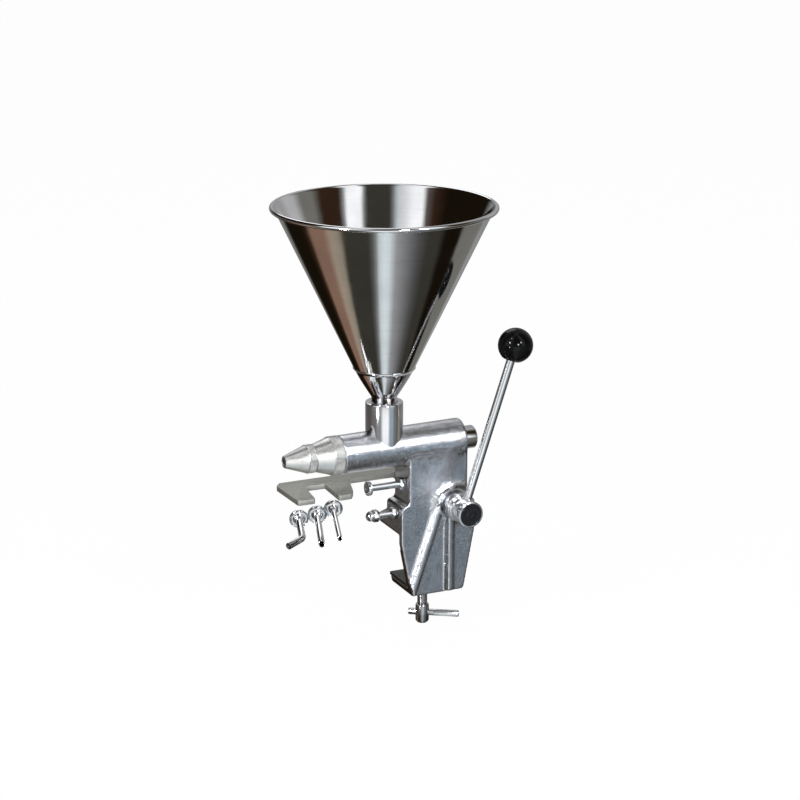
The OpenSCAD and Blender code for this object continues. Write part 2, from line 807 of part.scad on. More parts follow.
module clamp_screw() {
  color([0.62, 0.63, 0.63]) at_barrel() translate([screw_x, screw_y, 0]) difference() {
    rotate_extrude() polygon([
      [0, head_bottom], [head_d / 2 - 2, head_bottom], [head_d / 2, head_bottom + 2.5],
      [head_d / 2, head_top - 1.2], [head_d / 2 - 1.2, head_top], [screw_r, head_top],
      [screw_r, lower_jaw_z], [pivot_r, lower_jaw_z], [pivot_r, lower_jaw_z + face_gap + pivot_len],
      [0, lower_jaw_z + face_gap + pivot_len]
    ]);
    translate([0, 0, bar_z]) rotate([0, 0, bar_turn])
      x_bar(-head_d, head_d, bar_d / 2 + run_fit, bar_d / 2 + run_fit);
  }
}

module clamp_bar() {
  r = bar_d / 2;
  low = bar_shift - bar_len / 2;
  high = bar_shift + bar_len / 2;
  color([0.80, 0.80, 0.78]) at_barrel() translate([screw_x, screw_y, bar_z]) rotate([0, 0, bar_turn]) {
    rotate([0, 90, 0]) rotate_extrude() polygon([
      [0, low], [r - 0.8, low], [r, low + 0.8], [r, high - 0.8], [r - 0.8, high], [0, high]
    ]);
  }
}

module fork_outline() {
  left = -fork_forward;
  n0 = -notch_forward - notch_w / 2;
  n1 = -notch_forward + notch_w / 2;
  offset(r = 2.5, $fn = 32) offset(delta = -5) offset(r = 2.5, $fn = 32) polygon([
    [left - 1, arm_near + 11], [left + 5.5, arm_far - 1], [lug_rear, arm_far], [lug_rear, arm_near],
    [left + 85, arm_near], [left + 82, arm_near - 5.5], [left + 71, -prong_reach + 8],
    [left + 65, -prong_reach - 1.5], [n1 - 2, -prong_reach - 2], [n1, arm_near - 5], [n0, arm_near - 4.5],
    [n0 - 5.5, -prong_reach], [left + 1, -prong_reach + 0.5]
  ]);
}

module rest_fork() {
  color([0.62, 0.62, 0.60]) at_barrel() difference() {
    translate([0, 0, fork_low]) linear_extrude(fork_t) fork_outline();
    for (x = fork_screw_x) translate([x, fork_screw_y, fork_low - cut])
      cylinder(h = fork_t + 2 * cut, r = fork_screw_r + 0.3);
  }
}

module fork_screws() {
  color([0.75, 0.75, 0.76]) at_barrel()
    for (x = fork_screw_x) translate([x, fork_screw_y, 0]) difference() {
      union() {
        translate([0, 0, fork_low - lug_t]) cylinder(h = lug_t + fork_t, r = fork_screw_r - 0.02);
        translate([0, 0, fork_z]) cylinder(h = 3.5, r1 = 5.4, r2 = 4.6);
      }
      translate([0, 0, fork_z + 1]) cylinder(h = 4, r = 2.3, $fn = 6);
    }
}

// A flanged nozzle along +Z with its flange's outer face at the origin.
module flanged_tube(len, tube_d, bevel) {
  bore = tube_d / 2 - tube_t;
  difference() {
    union() {
      rotate_extrude() polygon([
        [0, 0], [flange_r - 0.5, 0], [flange_r, 0.5], [flange_r, flange_t], [tube_d / 2 + collar, flange_t],
        [tube_d / 2 + collar, flange_t + collar_len], [tube_d / 2, flange_t + collar_len + 1],
        [tube_d / 2, len], [0, len]
      ]);
    }
    translate([0, 0, -cut]) cylinder(h = len + 2 * cut, r = bore);
    translate([tube_d / 2, 0, len]) rotate([0, -bevel, 0]) translate([-tube_d * 4, -tube_d * 2, 0])
      cube([tube_d * 8, tube_d * 4, tube_d * 4]);
  }
}

// Lays a nozzle on the table, resting on its flange's edge and on its tip.
module laid(place, heading, len, tube_d) {
  dip = atan((flange_r - tube_d / 2) / (len - flange_t));
  lift = flange_r * cos(dip) + flange_t * sin(dip) + snug;
  translate([place[0], place[1], seat_z + lift]) rotate([0, 0, heading])
    rotate([0, 90 + dip, 0]) children();
}

module wide_nozzle() {
  color([0.84, 0.85, 0.86]) at_barrel()
    laid([-wide_forward, wide_aside], wide_heading, nozzle_len, wide_d)
      flanged_tube(nozzle_len, wide_d, tip_bevel);
}

module narrow_nozzle() {
  color([0.84, 0.85, 0.86]) at_barrel()
    laid([-narrow_forward, narrow_aside], narrow_heading, nozzle_len, narrow_d)
      flanged_tube(nozzle_len, narrow_d, tip_bevel);
}

// A point on the bent tube: how far along it, how far out from its middle, and at which angle round it.
function bent_point(along, out, a) = let(
    turn = min(max(along - bent_straight, 0) / bend_r * 180 / PI, bend_turn),
    bend_end = bent_straight + bend_r * bend_turn * PI / 180,
    past = max(along - bend_end, 0),
    side = [0, cos(turn), sin(turn)],
    ahead = [0, -sin(turn), cos(turn)],
    middle = [0, -bend_r, min(along, bent_straight)] + bend_r * side + past * ahead)
  middle + out * (cos(a) * [1, 0, 0] + sin(a) * side);

// One closed skin of rings: along the outside to the tip, and back through the bore.
module bent_nozzle() {
  sides = 24;
  steps = 7;
  r = bent_d / 2;
  bend_len = bend_r * bend_turn * PI / 180;
  total = bent_straight + bend_len + bent_end;
  round_bend = [for (i = [0:steps]) bent_straight + bend_len * i / steps];
  back = [for (i = [steps:-1:0]) round_bend[i]];
  rings = concat(
    [[0, flange_r - 0.5], [0.5, flange_r], [flange_t, flange_r], [flange_t, r + collar],
     [flange_t + collar_len, r + collar], [flange_t + collar_len + 1, r]],
    [for (along = round_bend) [along, r]],
    [[total, r], [total, r - tube_t]],
    [for (along = back) [along, r - tube_t]],
    [[0, r - tube_t]]
  );
  count = len(rings);
  place = [-bent_forward, bent_aside];
  reach = bent_straight + bend_r * sin(bend_turn) + bent_end * cos(bend_turn);
  color([0.84, 0.85, 0.86]) at_barrel() laid(place, bent_heading, reach, bent_d) polyhedron(
    points = [for (ring = rings, i = [0:sides - 1]) bent_point(ring[0], ring[1], 360 * i / sides)],
    faces = [for (k = [0:count - 1], i = [0:sides - 1], half = [0, 1]) let(
        here = k * sides,
        next = (k + 1) % count * sides,
        j = (i + 1) % sides)
      half == 0 ? [here + i, next + i, here + j] : [here + j, next + i, next + j]]
  );
}

body_casting();
neck_tube();
hopper_cone();
hopper_outlet();
reducer_cap();
barrel_gasket();
nose_cap();
nose_gasket();
plunger();
plunger_seals();
crank_arm();
crank_key();
crank_set_screw();
lever_shaft();
shaft_bushes();
shaft_circlip();
lever_hub();
hub_bezel();
hub_cap();
lever_rod();
lever_knob();
upper_stop_screw();
upper_lock_nut();
lower_stop_stud();
lower_cap_nut();
lower_lock_nut();
pressure_plate();
clamp_screw();
clamp_bar();
rest_fork();
fork_screws();
bent_nozzle();
wide_nozzle();
narrow_nozzle();
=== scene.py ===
"""Table-clamped pastry filling machine: its finished pieces, studio and camera, as a Blender add-on."""

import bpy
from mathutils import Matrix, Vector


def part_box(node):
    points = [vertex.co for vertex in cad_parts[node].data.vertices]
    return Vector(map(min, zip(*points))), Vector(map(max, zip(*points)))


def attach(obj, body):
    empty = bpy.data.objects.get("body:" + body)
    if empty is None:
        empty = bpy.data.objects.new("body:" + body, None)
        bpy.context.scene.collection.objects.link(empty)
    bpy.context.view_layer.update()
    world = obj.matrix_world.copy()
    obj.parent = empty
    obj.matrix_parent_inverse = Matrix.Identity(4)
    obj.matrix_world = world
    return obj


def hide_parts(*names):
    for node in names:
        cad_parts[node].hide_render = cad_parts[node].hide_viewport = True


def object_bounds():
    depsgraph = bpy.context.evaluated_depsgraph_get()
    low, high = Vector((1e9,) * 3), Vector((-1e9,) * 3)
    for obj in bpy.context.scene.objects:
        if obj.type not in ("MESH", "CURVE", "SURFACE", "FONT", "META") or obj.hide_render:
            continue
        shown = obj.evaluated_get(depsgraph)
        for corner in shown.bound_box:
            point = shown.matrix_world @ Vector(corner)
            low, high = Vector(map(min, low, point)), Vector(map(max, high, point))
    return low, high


bl_info = {
    "name": "Pastry Filling Machine",
    "version": (1, 0, 0),
    "blender": (4, 5, 0),
    "location": "View3D > Sidebar > Filler",
    "description": "Models the visible pieces of a hand-lever pastry filling machine and its studio",
    "category": "Object",
}

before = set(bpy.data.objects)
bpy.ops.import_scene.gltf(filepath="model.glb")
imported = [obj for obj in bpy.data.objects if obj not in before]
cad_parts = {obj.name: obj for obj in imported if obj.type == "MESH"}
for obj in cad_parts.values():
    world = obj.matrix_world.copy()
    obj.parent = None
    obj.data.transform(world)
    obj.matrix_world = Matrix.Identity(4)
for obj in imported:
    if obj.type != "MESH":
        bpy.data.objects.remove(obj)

import math

import bmesh
import bpy
from bpy.props import FloatProperty, FloatVectorProperty, IntProperty, PointerProperty
from mathutils import Matrix, Vector

MM = 0.001
CAD_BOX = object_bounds()


def middle(node, axis):
    """The middle of a CAD node's box along one axis."""
    low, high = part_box(node)
    return (low[axis] + high[axis]) / 2


def depth(node, axis):
    """The size of a CAD node's box along one axis."""
    low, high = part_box(node)
    return high[axis] - low[axis]


# The barrel's cross: where the hopper's axis meets the barrel's axis.
CROSS = Vector((middle("hopper_cone", 0), middle("hopper_cone", 1), middle("nose_cap", 2)))
SHAFT = Vector((middle("hub_bezel", 0), 0, middle("hub_bezel", 2)))
SHAFT_BACK = SHAFT.x - CROSS.x
SHAFT_LOW = SHAFT.z - CROSS.z


# ---------------------------------------------------------------- sizes and colours


class HopperSizes(bpy.types.PropertyGroup):
    """Sizes of the hopper and the neck."""

    rim_radius: FloatProperty(
        name="Rim radius", description="Outer radius of the rolled rim", default=depth("hopper_cone", 0) / 2, unit="LENGTH"
    )
    rim_height: FloatProperty(
        name="Rim height",
        description="Height of the rim's top above the barrel's axis",
        default=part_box("hopper_cone")[1][2] - CROSS.z,
        unit="LENGTH",
    )
    bead: FloatProperty(name="Bead", description="Diameter of the rolled edge", default=5.4 * MM, unit="LENGTH")
    sheet: FloatProperty(name="Sheet", description="Thickness of the steel sheet", default=1.0 * MM, unit="LENGTH")
    weld_radius: FloatProperty(
        name="Weld radius", description="Outer radius at the weld", default=35 * MM, unit="LENGTH"
    )
    weld_height: FloatProperty(
        name="Weld height", description="Height of the weld above the barrel's axis", default=97 * MM, unit="LENGTH"
    )
    spigot_radius: FloatProperty(
        name="Spigot radius", description="Outer radius of the spigot", default=14.7 * MM, unit="LENGTH"
    )
    neck_radius: FloatProperty(
        name="Neck radius", description="Outer radius of the neck", default=depth("neck_tube", 0) / 2, unit="LENGTH"
    )
    neck_top: FloatProperty(
        name="Neck top",
        description="Height of the neck's top above the barrel's axis",
        default=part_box("neck_tube")[1][2] - CROSS.z,
        unit="LENGTH",
    )


class NoseSizes(bpy.types.PropertyGroup):
    """Sizes of the two screwed caps on the barrel's front."""

    band_radius: FloatProperty(
        name="Reducer band radius",
        description="Radius over the reducer's knurl",
        default=depth("reducer_cap", 1) / 2,
        unit="LENGTH",
    )
    nose_radius: FloatProperty(
        name="Nose band radius",
        description="Radius over the nose cap's knurl",
        default=depth("nose_cap", 1) / 2,
        unit="LENGTH",
    )
    knurl_pitch: FloatProperty(
        name="Knurl pitch", description="Width of one knurl diamond", default=1.15 * MM, unit="LENGTH"
    )
    knurl_depth: FloatProperty(
        name="Knurl depth", description="Depth of the knurl's grooves", default=0.3 * MM, unit="LENGTH"
    )


class CastSizes(bpy.types.PropertyGroup):
    """Sizes of the casting's surface."""

    grid: FloatProperty(
        name="Grid", description="Width of the casting's surface grid", default=1.15 * MM, min=0.8 * MM, unit="LENGTH"
    )
    rounding: IntProperty(name="Rounding", description="Smoothing passes over the cast edges", default=4)
    boss_radius: FloatProperty(
        name="Boss radius", description="Radius of the polished shaft boss", default=16.3 * MM, unit="LENGTH"
    )
    foot_height: FloatProperty(
        name="Foot height", description="Height of the hollow blend at the boss's foot", default=9.5 * MM, unit="LENGTH"
    )
    foot_width: FloatProperty(
        name="Foot width", description="Width of the hollow blend at the boss's foot", default=17 * MM, unit="LENGTH"
    )


class LeverSizes(bpy.types.PropertyGroup):
    """Sizes of the lever."""

    lean: FloatProperty(
        name="Lean", description="Lean of the lever to the rear at rest", default=math.radians(18.6), unit="ROTATION"
    )
    length: FloatProperty(
        name="Length", description="From the shaft to the knob's centre", default=197.5 * MM, unit="LENGTH"
    )
    rod_radius: FloatProperty(name="Rod radius", description="Radius of the rod", default=5 * MM, unit="LENGTH")
    knob_radius: FloatProperty(name="Knob radius", description="Radius of the ball knob", default=20 * MM, unit="LENGTH")
    hub_radius: FloatProperty(name="Hub radius", description="Radius of the hub", default=depth("lever_hub", 0) / 2, unit="LENGTH")
    bezel_radius: FloatProperty(name="Bezel radius", description="Radius of the bezel", default=depth("hub_bezel", 0) / 2, unit="LENGTH")


class ScrewSizes(bpy.types.PropertyGroup):
    """Sizes of the stop screws and of the clamp."""

    thread_pitch: FloatProperty(name="Stop pitch", description="Pitch of the stop screws", default=1.25 * MM, unit="LENGTH")
    clamp_pitch: FloatProperty(name="Clamp pitch", description="Pitch of the clamp screw", default=1.75 * MM, unit="LENGTH")
    edge: FloatProperty(name="Edge", description="Rounding of turned edges", default=0.35 * MM, unit="LENGTH")


class NozzleSizes(bpy.types.PropertyGroup):
    """Sizes of the loose nozzles."""

    wall: FloatProperty(name="Wall", description="Wall of the tubes", default=0.7 * MM, unit="LENGTH")
    bevel: FloatProperty(name="Bevel", description="Slant of the cut tips", default=math.radians(30), unit="ROTATION")


def colour(name, description, value):
    return FloatVectorProperty(name=name, description=description, default=value, subtype="COLOR", size=3, min=0, max=1)


class Finishes(bpy.types.PropertyGroup):
    """Colours of the finishes."""

    hopper: colour("Hopper steel", "Polished sheet of the hopper", (0.80, 0.80, 0.82))
    casting: colour("Casting", "Nickelled cast body", (0.62, 0.63, 0.68))
    turned: colour("Turned alloy", "Turned caps of the nose", (0.80, 0.80, 0.79))
    bright: colour("Bright steel", "Stop screws, hub and rod", (0.78, 0.78, 0.80))
    fork: colour("Fork", "Satin plate of the rest fork", (0.50, 0.50, 0.47))
    plate: colour("Plate", "Blackened pressure plate", (0.10, 0.10, 0.095))
    bronze: colour("Bronze", "Shaft bushes", (0.72, 0.50, 0.24))
    knob: colour("Knob", "Black resin of the knob", (0.003, 0.003, 0.003))
    seal: colour("Seal", "White seals", (0.80, 0.80, 0.78))


class StageSettings(bpy.types.PropertyGroup):
    """Camera, floor and lamps."""

    camera_place: FloatVectorProperty(
        name="Camera place", description="Where the camera stands", default=(-1.0771, -2.2535, 0.8802), unit="LENGTH"
    )
    camera_way: FloatVectorProperty(
        name="Camera way", description="Which way the camera looks", default=(0.40444, 0.87005, -0.28185), subtype="DIRECTION"
    )
    camera_roll: FloatProperty(name="Roll", description="Roll of the camera", default=math.radians(0.13), unit="ROTATION")
    lens: FloatProperty(name="Lens", description="Focal length in millimetres", default=101.85)
    floor_gap: FloatProperty(
        name="Floor gap", description="Gap between the lowest piece and the floor", default=0.6 * MM, unit="LENGTH"
    )
    lamp_power: FloatProperty(name="Lamp power", description="Power of the main soft lamp", default=16.0)


GROUPS = {
    "filler_hopper": HopperSizes,
    "filler_nose": NoseSizes,
    "filler_cast": CastSizes,
    "filler_lever": LeverSizes,
    "filler_screws": ScrewSizes,
    "filler_nozzles": NozzleSizes,
    "filler_finishes": Finishes,
    "filler_stage": StageSettings,
}


# ---------------------------------------------------------------- placing


def spot(x, y, z):
    """A point in metres, from millimetres off the barrel's cross."""
    return CROSS + Vector((x, y, z)) * MM


def toward(way, at):
    """A matrix that lays local +Z along a way, starting at a point."""
    return Matrix.Translation(at) @ Vector(way).to_track_quat("Z", "X").to_matrix().to_4x4()


FORWARD = (-1, 0, 0)
ASIDE = (0, -1, 0)
UP = (0, 0, 1)


# ---------------------------------------------------------------- modelling by hand


def only(piece):
    """Selects one piece and nothing else."""
    if bpy.context.object and bpy.context.object.mode != "OBJECT":
        bpy.ops.object.mode_set(mode="OBJECT")
    bpy.ops.object.select_all(action="DESELECT")
    piece.select_set(True)
    bpy.context.view_layer.objects.active = piece


def open_mesh(piece, kind="FACE"):
    """Opens a piece in edit mode with nothing selected."""
    only(piece)
    bpy.ops.object.mode_set(mode="EDIT")
    bpy.ops.mesh.select_mode(type=kind)
    bpy.ops.mesh.select_all(action="DESELECT")


def pick(piece, kind, wanted):
    """Selects the vertices, edges or faces of the open mesh that a test wants."""
    shape = bmesh.from_edit_mesh(piece.data)
    for part in {"VERT": shape.verts, "EDGE": shape.edges, "FACE": shape.faces}[kind]:
        if wanted(part):
            part.select_set(True)
    shape.select_flush_mode()
    bmesh.update_edit_mesh(piece.data)


def close_mesh(outward=True):
    """Leaves edit mode with doubles merged and faces pointing outwards."""
    bpy.ops.mesh.select_all(action="SELECT")
    bpy.ops.mesh.remove_doubles(threshold=0.002 * MM)
    if outward:
        bpy.ops.mesh.normals_make_consistent(inside=False)
    bpy.ops.object.mode_set(mode="OBJECT")


def turned(name, stations, sides=96, solid=False):
    """A turned piece: a circle extruded along Z from station to station, each a (height, radius) in millimetres."""
    height, radius = stations[0]
    bpy.ops.object.select_all(action="DESELECT")
    bpy.ops.mesh.primitive_circle_add(
        vertices=sides, radius=radius * MM, fill_type="NGON" if solid else "NOTHING", location=(0, 0, height * MM)
    )
    piece = bpy.context.object
    piece.name = name
    bpy.ops.object.mode_set(mode="EDIT")
    bpy.ops.mesh.select_mode(type="FACE" if solid else "EDGE")
    bpy.ops.mesh.select_all(action="SELECT")
    for next_height, next_radius in stations[1:]:
        bpy.ops.mesh.extrude_region_move(TRANSFORM_OT_translate={"value": (0, 0, (next_height - height) * MM)})
        if next_radius != radius:
            share = next_radius / radius
            bpy.ops.transform.resize(value=(share, share, 1), center_override=(0, 0, next_height * MM))
        height, radius = next_height, next_radius
    close_mesh()
    return piece


def round_edges(piece, width, least=28, segments=3):
    """Bevels the edges of a piece that are sharper than an angle."""
    open_mesh(piece, "EDGE")
    bpy.ops.mesh.edges_select_sharp(sharpness=math.radians(least))
    bpy.ops.mesh.bevel(offset=width, offset_type="OFFSET", segments=segments, profile=0.5, clamp_overlap=True)
    bpy.ops.object.mode_set(mode="OBJECT")


def settle(piece, matrix):
    """Puts a piece in its place and leaves its object at the origin."""
    piece.matrix_world = matrix @ piece.matrix_world
    only(piece)
    bpy.ops.object.transform_apply(location=True, rotation=True, scale=True)
    return piece


def modified(piece, kind, **values):
    """Adds a modifier, applies it and gives the piece back."""
    only(piece)
    modifier = piece.modifiers.new(kind.title(), kind)
    for key, value in values.items():
        setattr(modifier, key, value)
    bpy.ops.object.modifier_apply(modifier=modifier.name)
    return piece


def merged_copy(node, name):
    """A copy of a CAD node with its loose triangles merged and its custom normals cleared."""
    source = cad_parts[node]
    only(source)
    bpy.ops.object.duplicate(linked=False)
    piece = bpy.context.object
    piece.name = name
    piece.parent = None
    piece.data.materials.clear()
    open_mesh(piece, "VERT")
    bpy.ops.mesh.select_all(action="SELECT")
    bpy.ops.mesh.remove_doubles(threshold=0.002 * MM)
    bpy.ops.mesh.customdata_custom_splitnormals_clear()
    bpy.ops.object.mode_set(mode="OBJECT")
    return piece


def trimmed_copy(node, name, edge):
    """A merged copy with flat faces joined and its sharp edges rounded."""
    piece = merged_copy(node, name)
    open_mesh(piece, "FACE")
    bpy.ops.mesh.select_all(action="SELECT")
    bpy.ops.mesh.dissolve_limited(angle_limit=math.radians(0.6))
    bpy.ops.object.mode_set(mode="OBJECT")
    if edge:
        round_edges(piece, edge, least=40, segments=2)
    return piece


def joined(name, *pieces):
    """Joins pieces into one."""
    only(pieces[0])
    for piece in pieces:
        piece.select_set(True)
    bpy.ops.object.join()
    piece = bpy.context.object
    piece.name = name
    return piece


def done(piece, finish, slot, body, *nodes, smooth=32):
    """Shades a piece, gives it its finish and seats it on its body in place of its CAD nodes."""
    only(piece)
    bpy.ops.object.shade_smooth_by_angle(angle=math.radians(smooth))
    if finish is not None:
        piece.data.materials.clear()
        piece.data.materials.append(finish)
    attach(piece, body)
    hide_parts(*nodes)
    return piece


def carried(node, finish):
    """Gives a CAD node its finish."""
    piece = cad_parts[node]
    piece.data.materials.clear()
    piece.data.materials.append(finish)


def thread(start, length, radius, pitch, depth=0.55):
    """Stations of a threaded stretch: crests and roots in turn, in millimetres."""
    count = max(2, round(length / pitch))
    step = length / count
    stations = []
    for turn in range(count):
        base = start + turn * step
        stations += [(base + 0.10 * step, radius - depth), (base + 0.42 * step, radius), (base + 0.58 * step, radius)]
        stations += [(base + 0.90 * step, radius - depth)]
    return stations


def arc(centre, radius, start, end, steps):
    """Stations (height, radius) along an arc of a profile, angles from the radius axis, in degrees."""
    height, out = centre
    return [
        (height + radius * math.sin(math.radians(a)), out + radius * math.cos(math.radians(a)))
        for a in (start + (end - start) * i / steps for i in range(steps + 1))
    ]


def knurled_ring(name, low, high, radius, pitch, groove):
    """A closed ring with a diamond knurl, between two heights along Z; all but the name in metres."""
    sides = round(2 * math.pi * radius / pitch)
    rows = max(4, round((high - low) / pitch))
    step = (high - low) / rows
    bpy.ops.object.select_all(action="DESELECT")
    bpy.ops.mesh.primitive_cylinder_add(
        vertices=sides, radius=radius - groove, depth=high - low, end_fill_type="NOTHING", location=(0, 0, (low + high) / 2)
    )
    band = bpy.context.object
    band.name = name
    open_mesh(band, "EDGE")
    pick(band, "EDGE", lambda edge: abs(edge.verts[0].co.z - edge.verts[1].co.z) > 0.5 * (high - low))
    bpy.ops.mesh.subdivide(number_cuts=rows - 1)
    bpy.ops.mesh.select_mode(type="FACE")
    bpy.ops.mesh.select_all(action="SELECT")
    bpy.ops.mesh.poke(offset=0)
    bpy.ops.mesh.select_all(action="DESELECT")
    bpy.ops.mesh.select_mode(type="EDGE")

    def straight(edge):
        rise = abs(edge.verts[0].co.z - edge.verts[1].co.z)
        return len(edge.link_faces) == 2 and (rise < 0.01 * step or rise > 0.9 * step)

    pick(band, "EDGE", straight)
    bpy.ops.mesh.dissolve_edges(use_verts=False)
    bpy.ops.mesh.select_mode(type="FACE")
    bpy.ops.mesh.select_all(action="DESELECT")
    pick(band, "FACE", lambda face: len(face.verts) == 4)
    bpy.ops.mesh.poke(offset=groove)
    bpy.ops.mesh.select_mode(type="EDGE")
    inner = (radius - groove - 1.2 * MM) / (radius - groove)
    for sign in (-1, 1):
        bpy.ops.mesh.select_all(action="DESELECT")
        pick(band, "EDGE", lambda edge: len(edge.link_faces) == 1 and sign * edge.verts[0].co.z > 0)
        bpy.ops.mesh.extrude_region_move()
        bpy.ops.transform.resize(value=(inner, inner, 1), center_override=band.location)
    bpy.ops.mesh.select_all(action="DESELECT")
    pick(band, "EDGE", lambda edge: len(edge.link_faces) == 1)
    bpy.ops.mesh.bridge_edge_loops()
    close_mesh()
    return band


# ---------------------------------------------------------------- finishes


class Recipe:
    """Builds the nodes of one finish."""

    def __init__(self, name):
        self.material = bpy.data.materials.new(name)
        self.material.use_nodes = True
        self.tree = self.material.node_tree
        self.tree.nodes.clear()
        self.out = self.tree.nodes.new("ShaderNodeOutputMaterial")
        self.shader = self.tree.nodes.new("ShaderNodeBsdfPrincipled")
        self.tree.links.new(self.shader.outputs["BSDF"], self.out.inputs["Surface"])
        self.place = self.tree.nodes.new("ShaderNodeTexCoord").outputs["Object"]
        self.normal = None

    def set(self, **values):
        """Sets sockets of the shader by name, with spaces as underscores."""
        for key, value in values.items():
            self.shader.inputs[key.replace("_", " ")].default_value = value
        return self

    def link(self, start, end):
        self.tree.links.new(start, end)

    def noise(self, size, detail=3.0, stretch=(1, 1, 1), seed=(0, 0, 0), rough=0.5):
        """Noise whose features are about a size in metres, stretched along axes."""
        mapping = self.tree.nodes.new("ShaderNodeMapping")
        mapping.inputs["Scale"].default_value = [1 / (size * share) for share in stretch]
        mapping.inputs["Location"].default_value = seed
        noise = self.tree.nodes.new("ShaderNodeTexNoise")
        noise.inputs["Scale"].default_value = 1.0
        noise.inputs["Detail"].default_value = detail
        noise.inputs["Roughness"].default_value = rough
        self.link(self.place, mapping.inputs["Vector"])
        self.link(mapping.outputs["Vector"], noise.inputs["Vector"])
        return noise.outputs["Fac"]

    def ranged(self, fac, low, high, start=0.3, end=0.7):
        """A value run from low to high."""
        node = self.tree.nodes.new("ShaderNodeMapRange")
        node.interpolation_type = "SMOOTHSTEP"
        for name, value in (("From Min", start), ("From Max", end), ("To Min", low), ("To Max", high)):
            node.inputs[name].default_value = value
        self.link(fac, node.inputs["Value"])
        return node.outputs["Result"]

    def tinted(self, fac, first, second, base=None):
        """A colour between two, by a factor; a socket given as base takes the first colour's place."""
        node = self.tree.nodes.new("ShaderNodeMix")
        node.data_type = "RGBA"
        self.link(fac, node.inputs["Factor"])
        if base is None:
            node.inputs["A"].default_value = (*first, 1)
        else:
            self.link(base, node.inputs["A"])
        node.inputs["B"].default_value = (*second, 1)
        return node.outputs["Result"]

    def bump(self, height, distance, strength=1.0):
        """Adds a bump over those before it."""
        node = self.tree.nodes.new("ShaderNodeBump")
        node.inputs["Distance"].default_value = distance
        node.inputs["Strength"].default_value = strength
        self.link(height, node.inputs["Height"])
        if self.normal is not None:
            self.link(self.normal, node.inputs["Normal"])
        self.normal = node.outputs["Normal"]
        self.link(self.normal, self.shader.inputs["Normal"])
        return self


def shade(base, share):
    return tuple(min(1.0, channel * share) for channel in base)


def polished(name, base, rough, lines, line_height=0.000012, wave=0.00016, wave_size=0.05, tone=0.07):
    """Polished steel with fine lines from the wheel, slight waves and faint smudges."""
    recipe = Recipe(name).set(Metallic=1.0)
    smudge = recipe.ranged(recipe.noise(0.035, 4), 0.0, 1.0)
    colour_socket = recipe.tinted(smudge, shade(base, 1 - tone), shade(base, 1 + tone * 0.6))
    streak = recipe.ranged(recipe.noise(0.004, 5, lines), 0.0, 0.5, 0.45, 0.8)
    colour_socket = recipe.tinted(streak, base, shade(base, 1 - 1.6 * tone), colour_socket)
    recipe.link(colour_socket, recipe.shader.inputs["Base Color"])
    recipe.link(recipe.ranged(recipe.noise(0.02, 4, seed=(3, 1, 2)), *rough), recipe.shader.inputs["Roughness"])
    recipe.bump(recipe.noise(wave_size, 1), wave)
    recipe.bump(recipe.noise(0.0011, 3, lines, seed=(5, 5, 5)), line_height)
    recipe.bump(recipe.noise(0.00035, 2, seed=(1, 7, 3)), 0.000004)
    return recipe.material


def cast(name, base, rough, grain=0.00036, tone=0.10, edge=1.3):
    """Nickelled casting: mottled and finely pitted, with painted glints and painted shade of pits in its grain, and a
    painted highlight along its edges.
    """
    recipe = Recipe(name).set(Metallic=1.0)
    mottle = recipe.ranged(recipe.noise(0.009, 6, rough=0.6), 0.0, 1.0, 0.35, 0.65)
    colour_socket = recipe.tinted(mottle, shade(base, 1 - tone), shade(base, 1 + tone * 0.7))
    # Painted glints: small specks of the grain made 1.6 times lighter, standing in for the sparkle of light off the
    # nickel.
    painted_glint = recipe.ranged(recipe.noise(0.0015, 3, seed=(2, 9, 4), rough=0.7), 0.0, 1.0, 0.52, 0.64)
    colour_socket = recipe.tinted(painted_glint, base, shade(base, 1.6), colour_socket)
    # Painted shade: small dark specks at 0.4 of the colour, standing in for the shade in the casting's pits.
    painted_pit_shade = recipe.ranged(recipe.noise(0.0015, 3, seed=(8, 3, 6), rough=0.7), 0.0, 0.9, 0.54, 0.66)
    colour_socket = recipe.tinted(painted_pit_shade, base, shade(base, 0.4), colour_socket)
    # Painted highlight: convex edges, found by pointiness, are made lighter (by the share edge) to stand in for the
    # light they catch.
    point = recipe.tree.nodes.new("ShaderNodeNewGeometry").outputs["Pointiness"]
    painted_edge_highlight = recipe.ranged(point, 0.0, 0.85, 0.515, 0.60)
    colour_socket = recipe.tinted(painted_edge_highlight, base, shade(base, edge), colour_socket)
    recipe.link(colour_socket, recipe.shader.inputs["Base Color"])
    recipe.link(recipe.ranged(recipe.noise(0.0035, 5, seed=(3, 1, 2)), *rough), recipe.shader.inputs["Roughness"])
    recipe.bump(recipe.noise(0.012, 2), 0.0001)
    recipe.bump(recipe.noise(0.0016, 2, seed=(7, 7, 1), rough=0.6), grain)
    return recipe.material


def satin(name, base, rough, lines, height=0.00003, tone=0.08):
    """Satin metal with a turned or brushed lay."""
    recipe = Recipe(name).set(Metallic=1.0)
    lay = recipe.ranged(recipe.noise(0.0012, 4, lines), 0.0, 1.0)
    colour_socket = recipe.tinted(lay, shade(base, 1 - tone), shade(base, 1 + tone * 0.5))
    spots = recipe.ranged(recipe.noise(0.007, 5, seed=(4, 4, 4)), 0.0, 0.6, 0.5, 0.75)
    colour_socket = recipe.tinted(spots, base, shade(base, 1 - 1.5 * tone), colour_socket)
    recipe.link(colour_socket, recipe.shader.inputs["Base Color"])
    recipe.link(recipe.ranged(recipe.noise(0.004, 4, seed=(3, 1, 2)), *rough), recipe.shader.inputs["Roughness"])
    recipe.bump(recipe.noise(0.0006, 3, lines, seed=(5, 5, 5)), height)
    recipe.bump(recipe.noise(0.0004, 2, seed=(1, 7, 3)), height / 3)
    return recipe.material


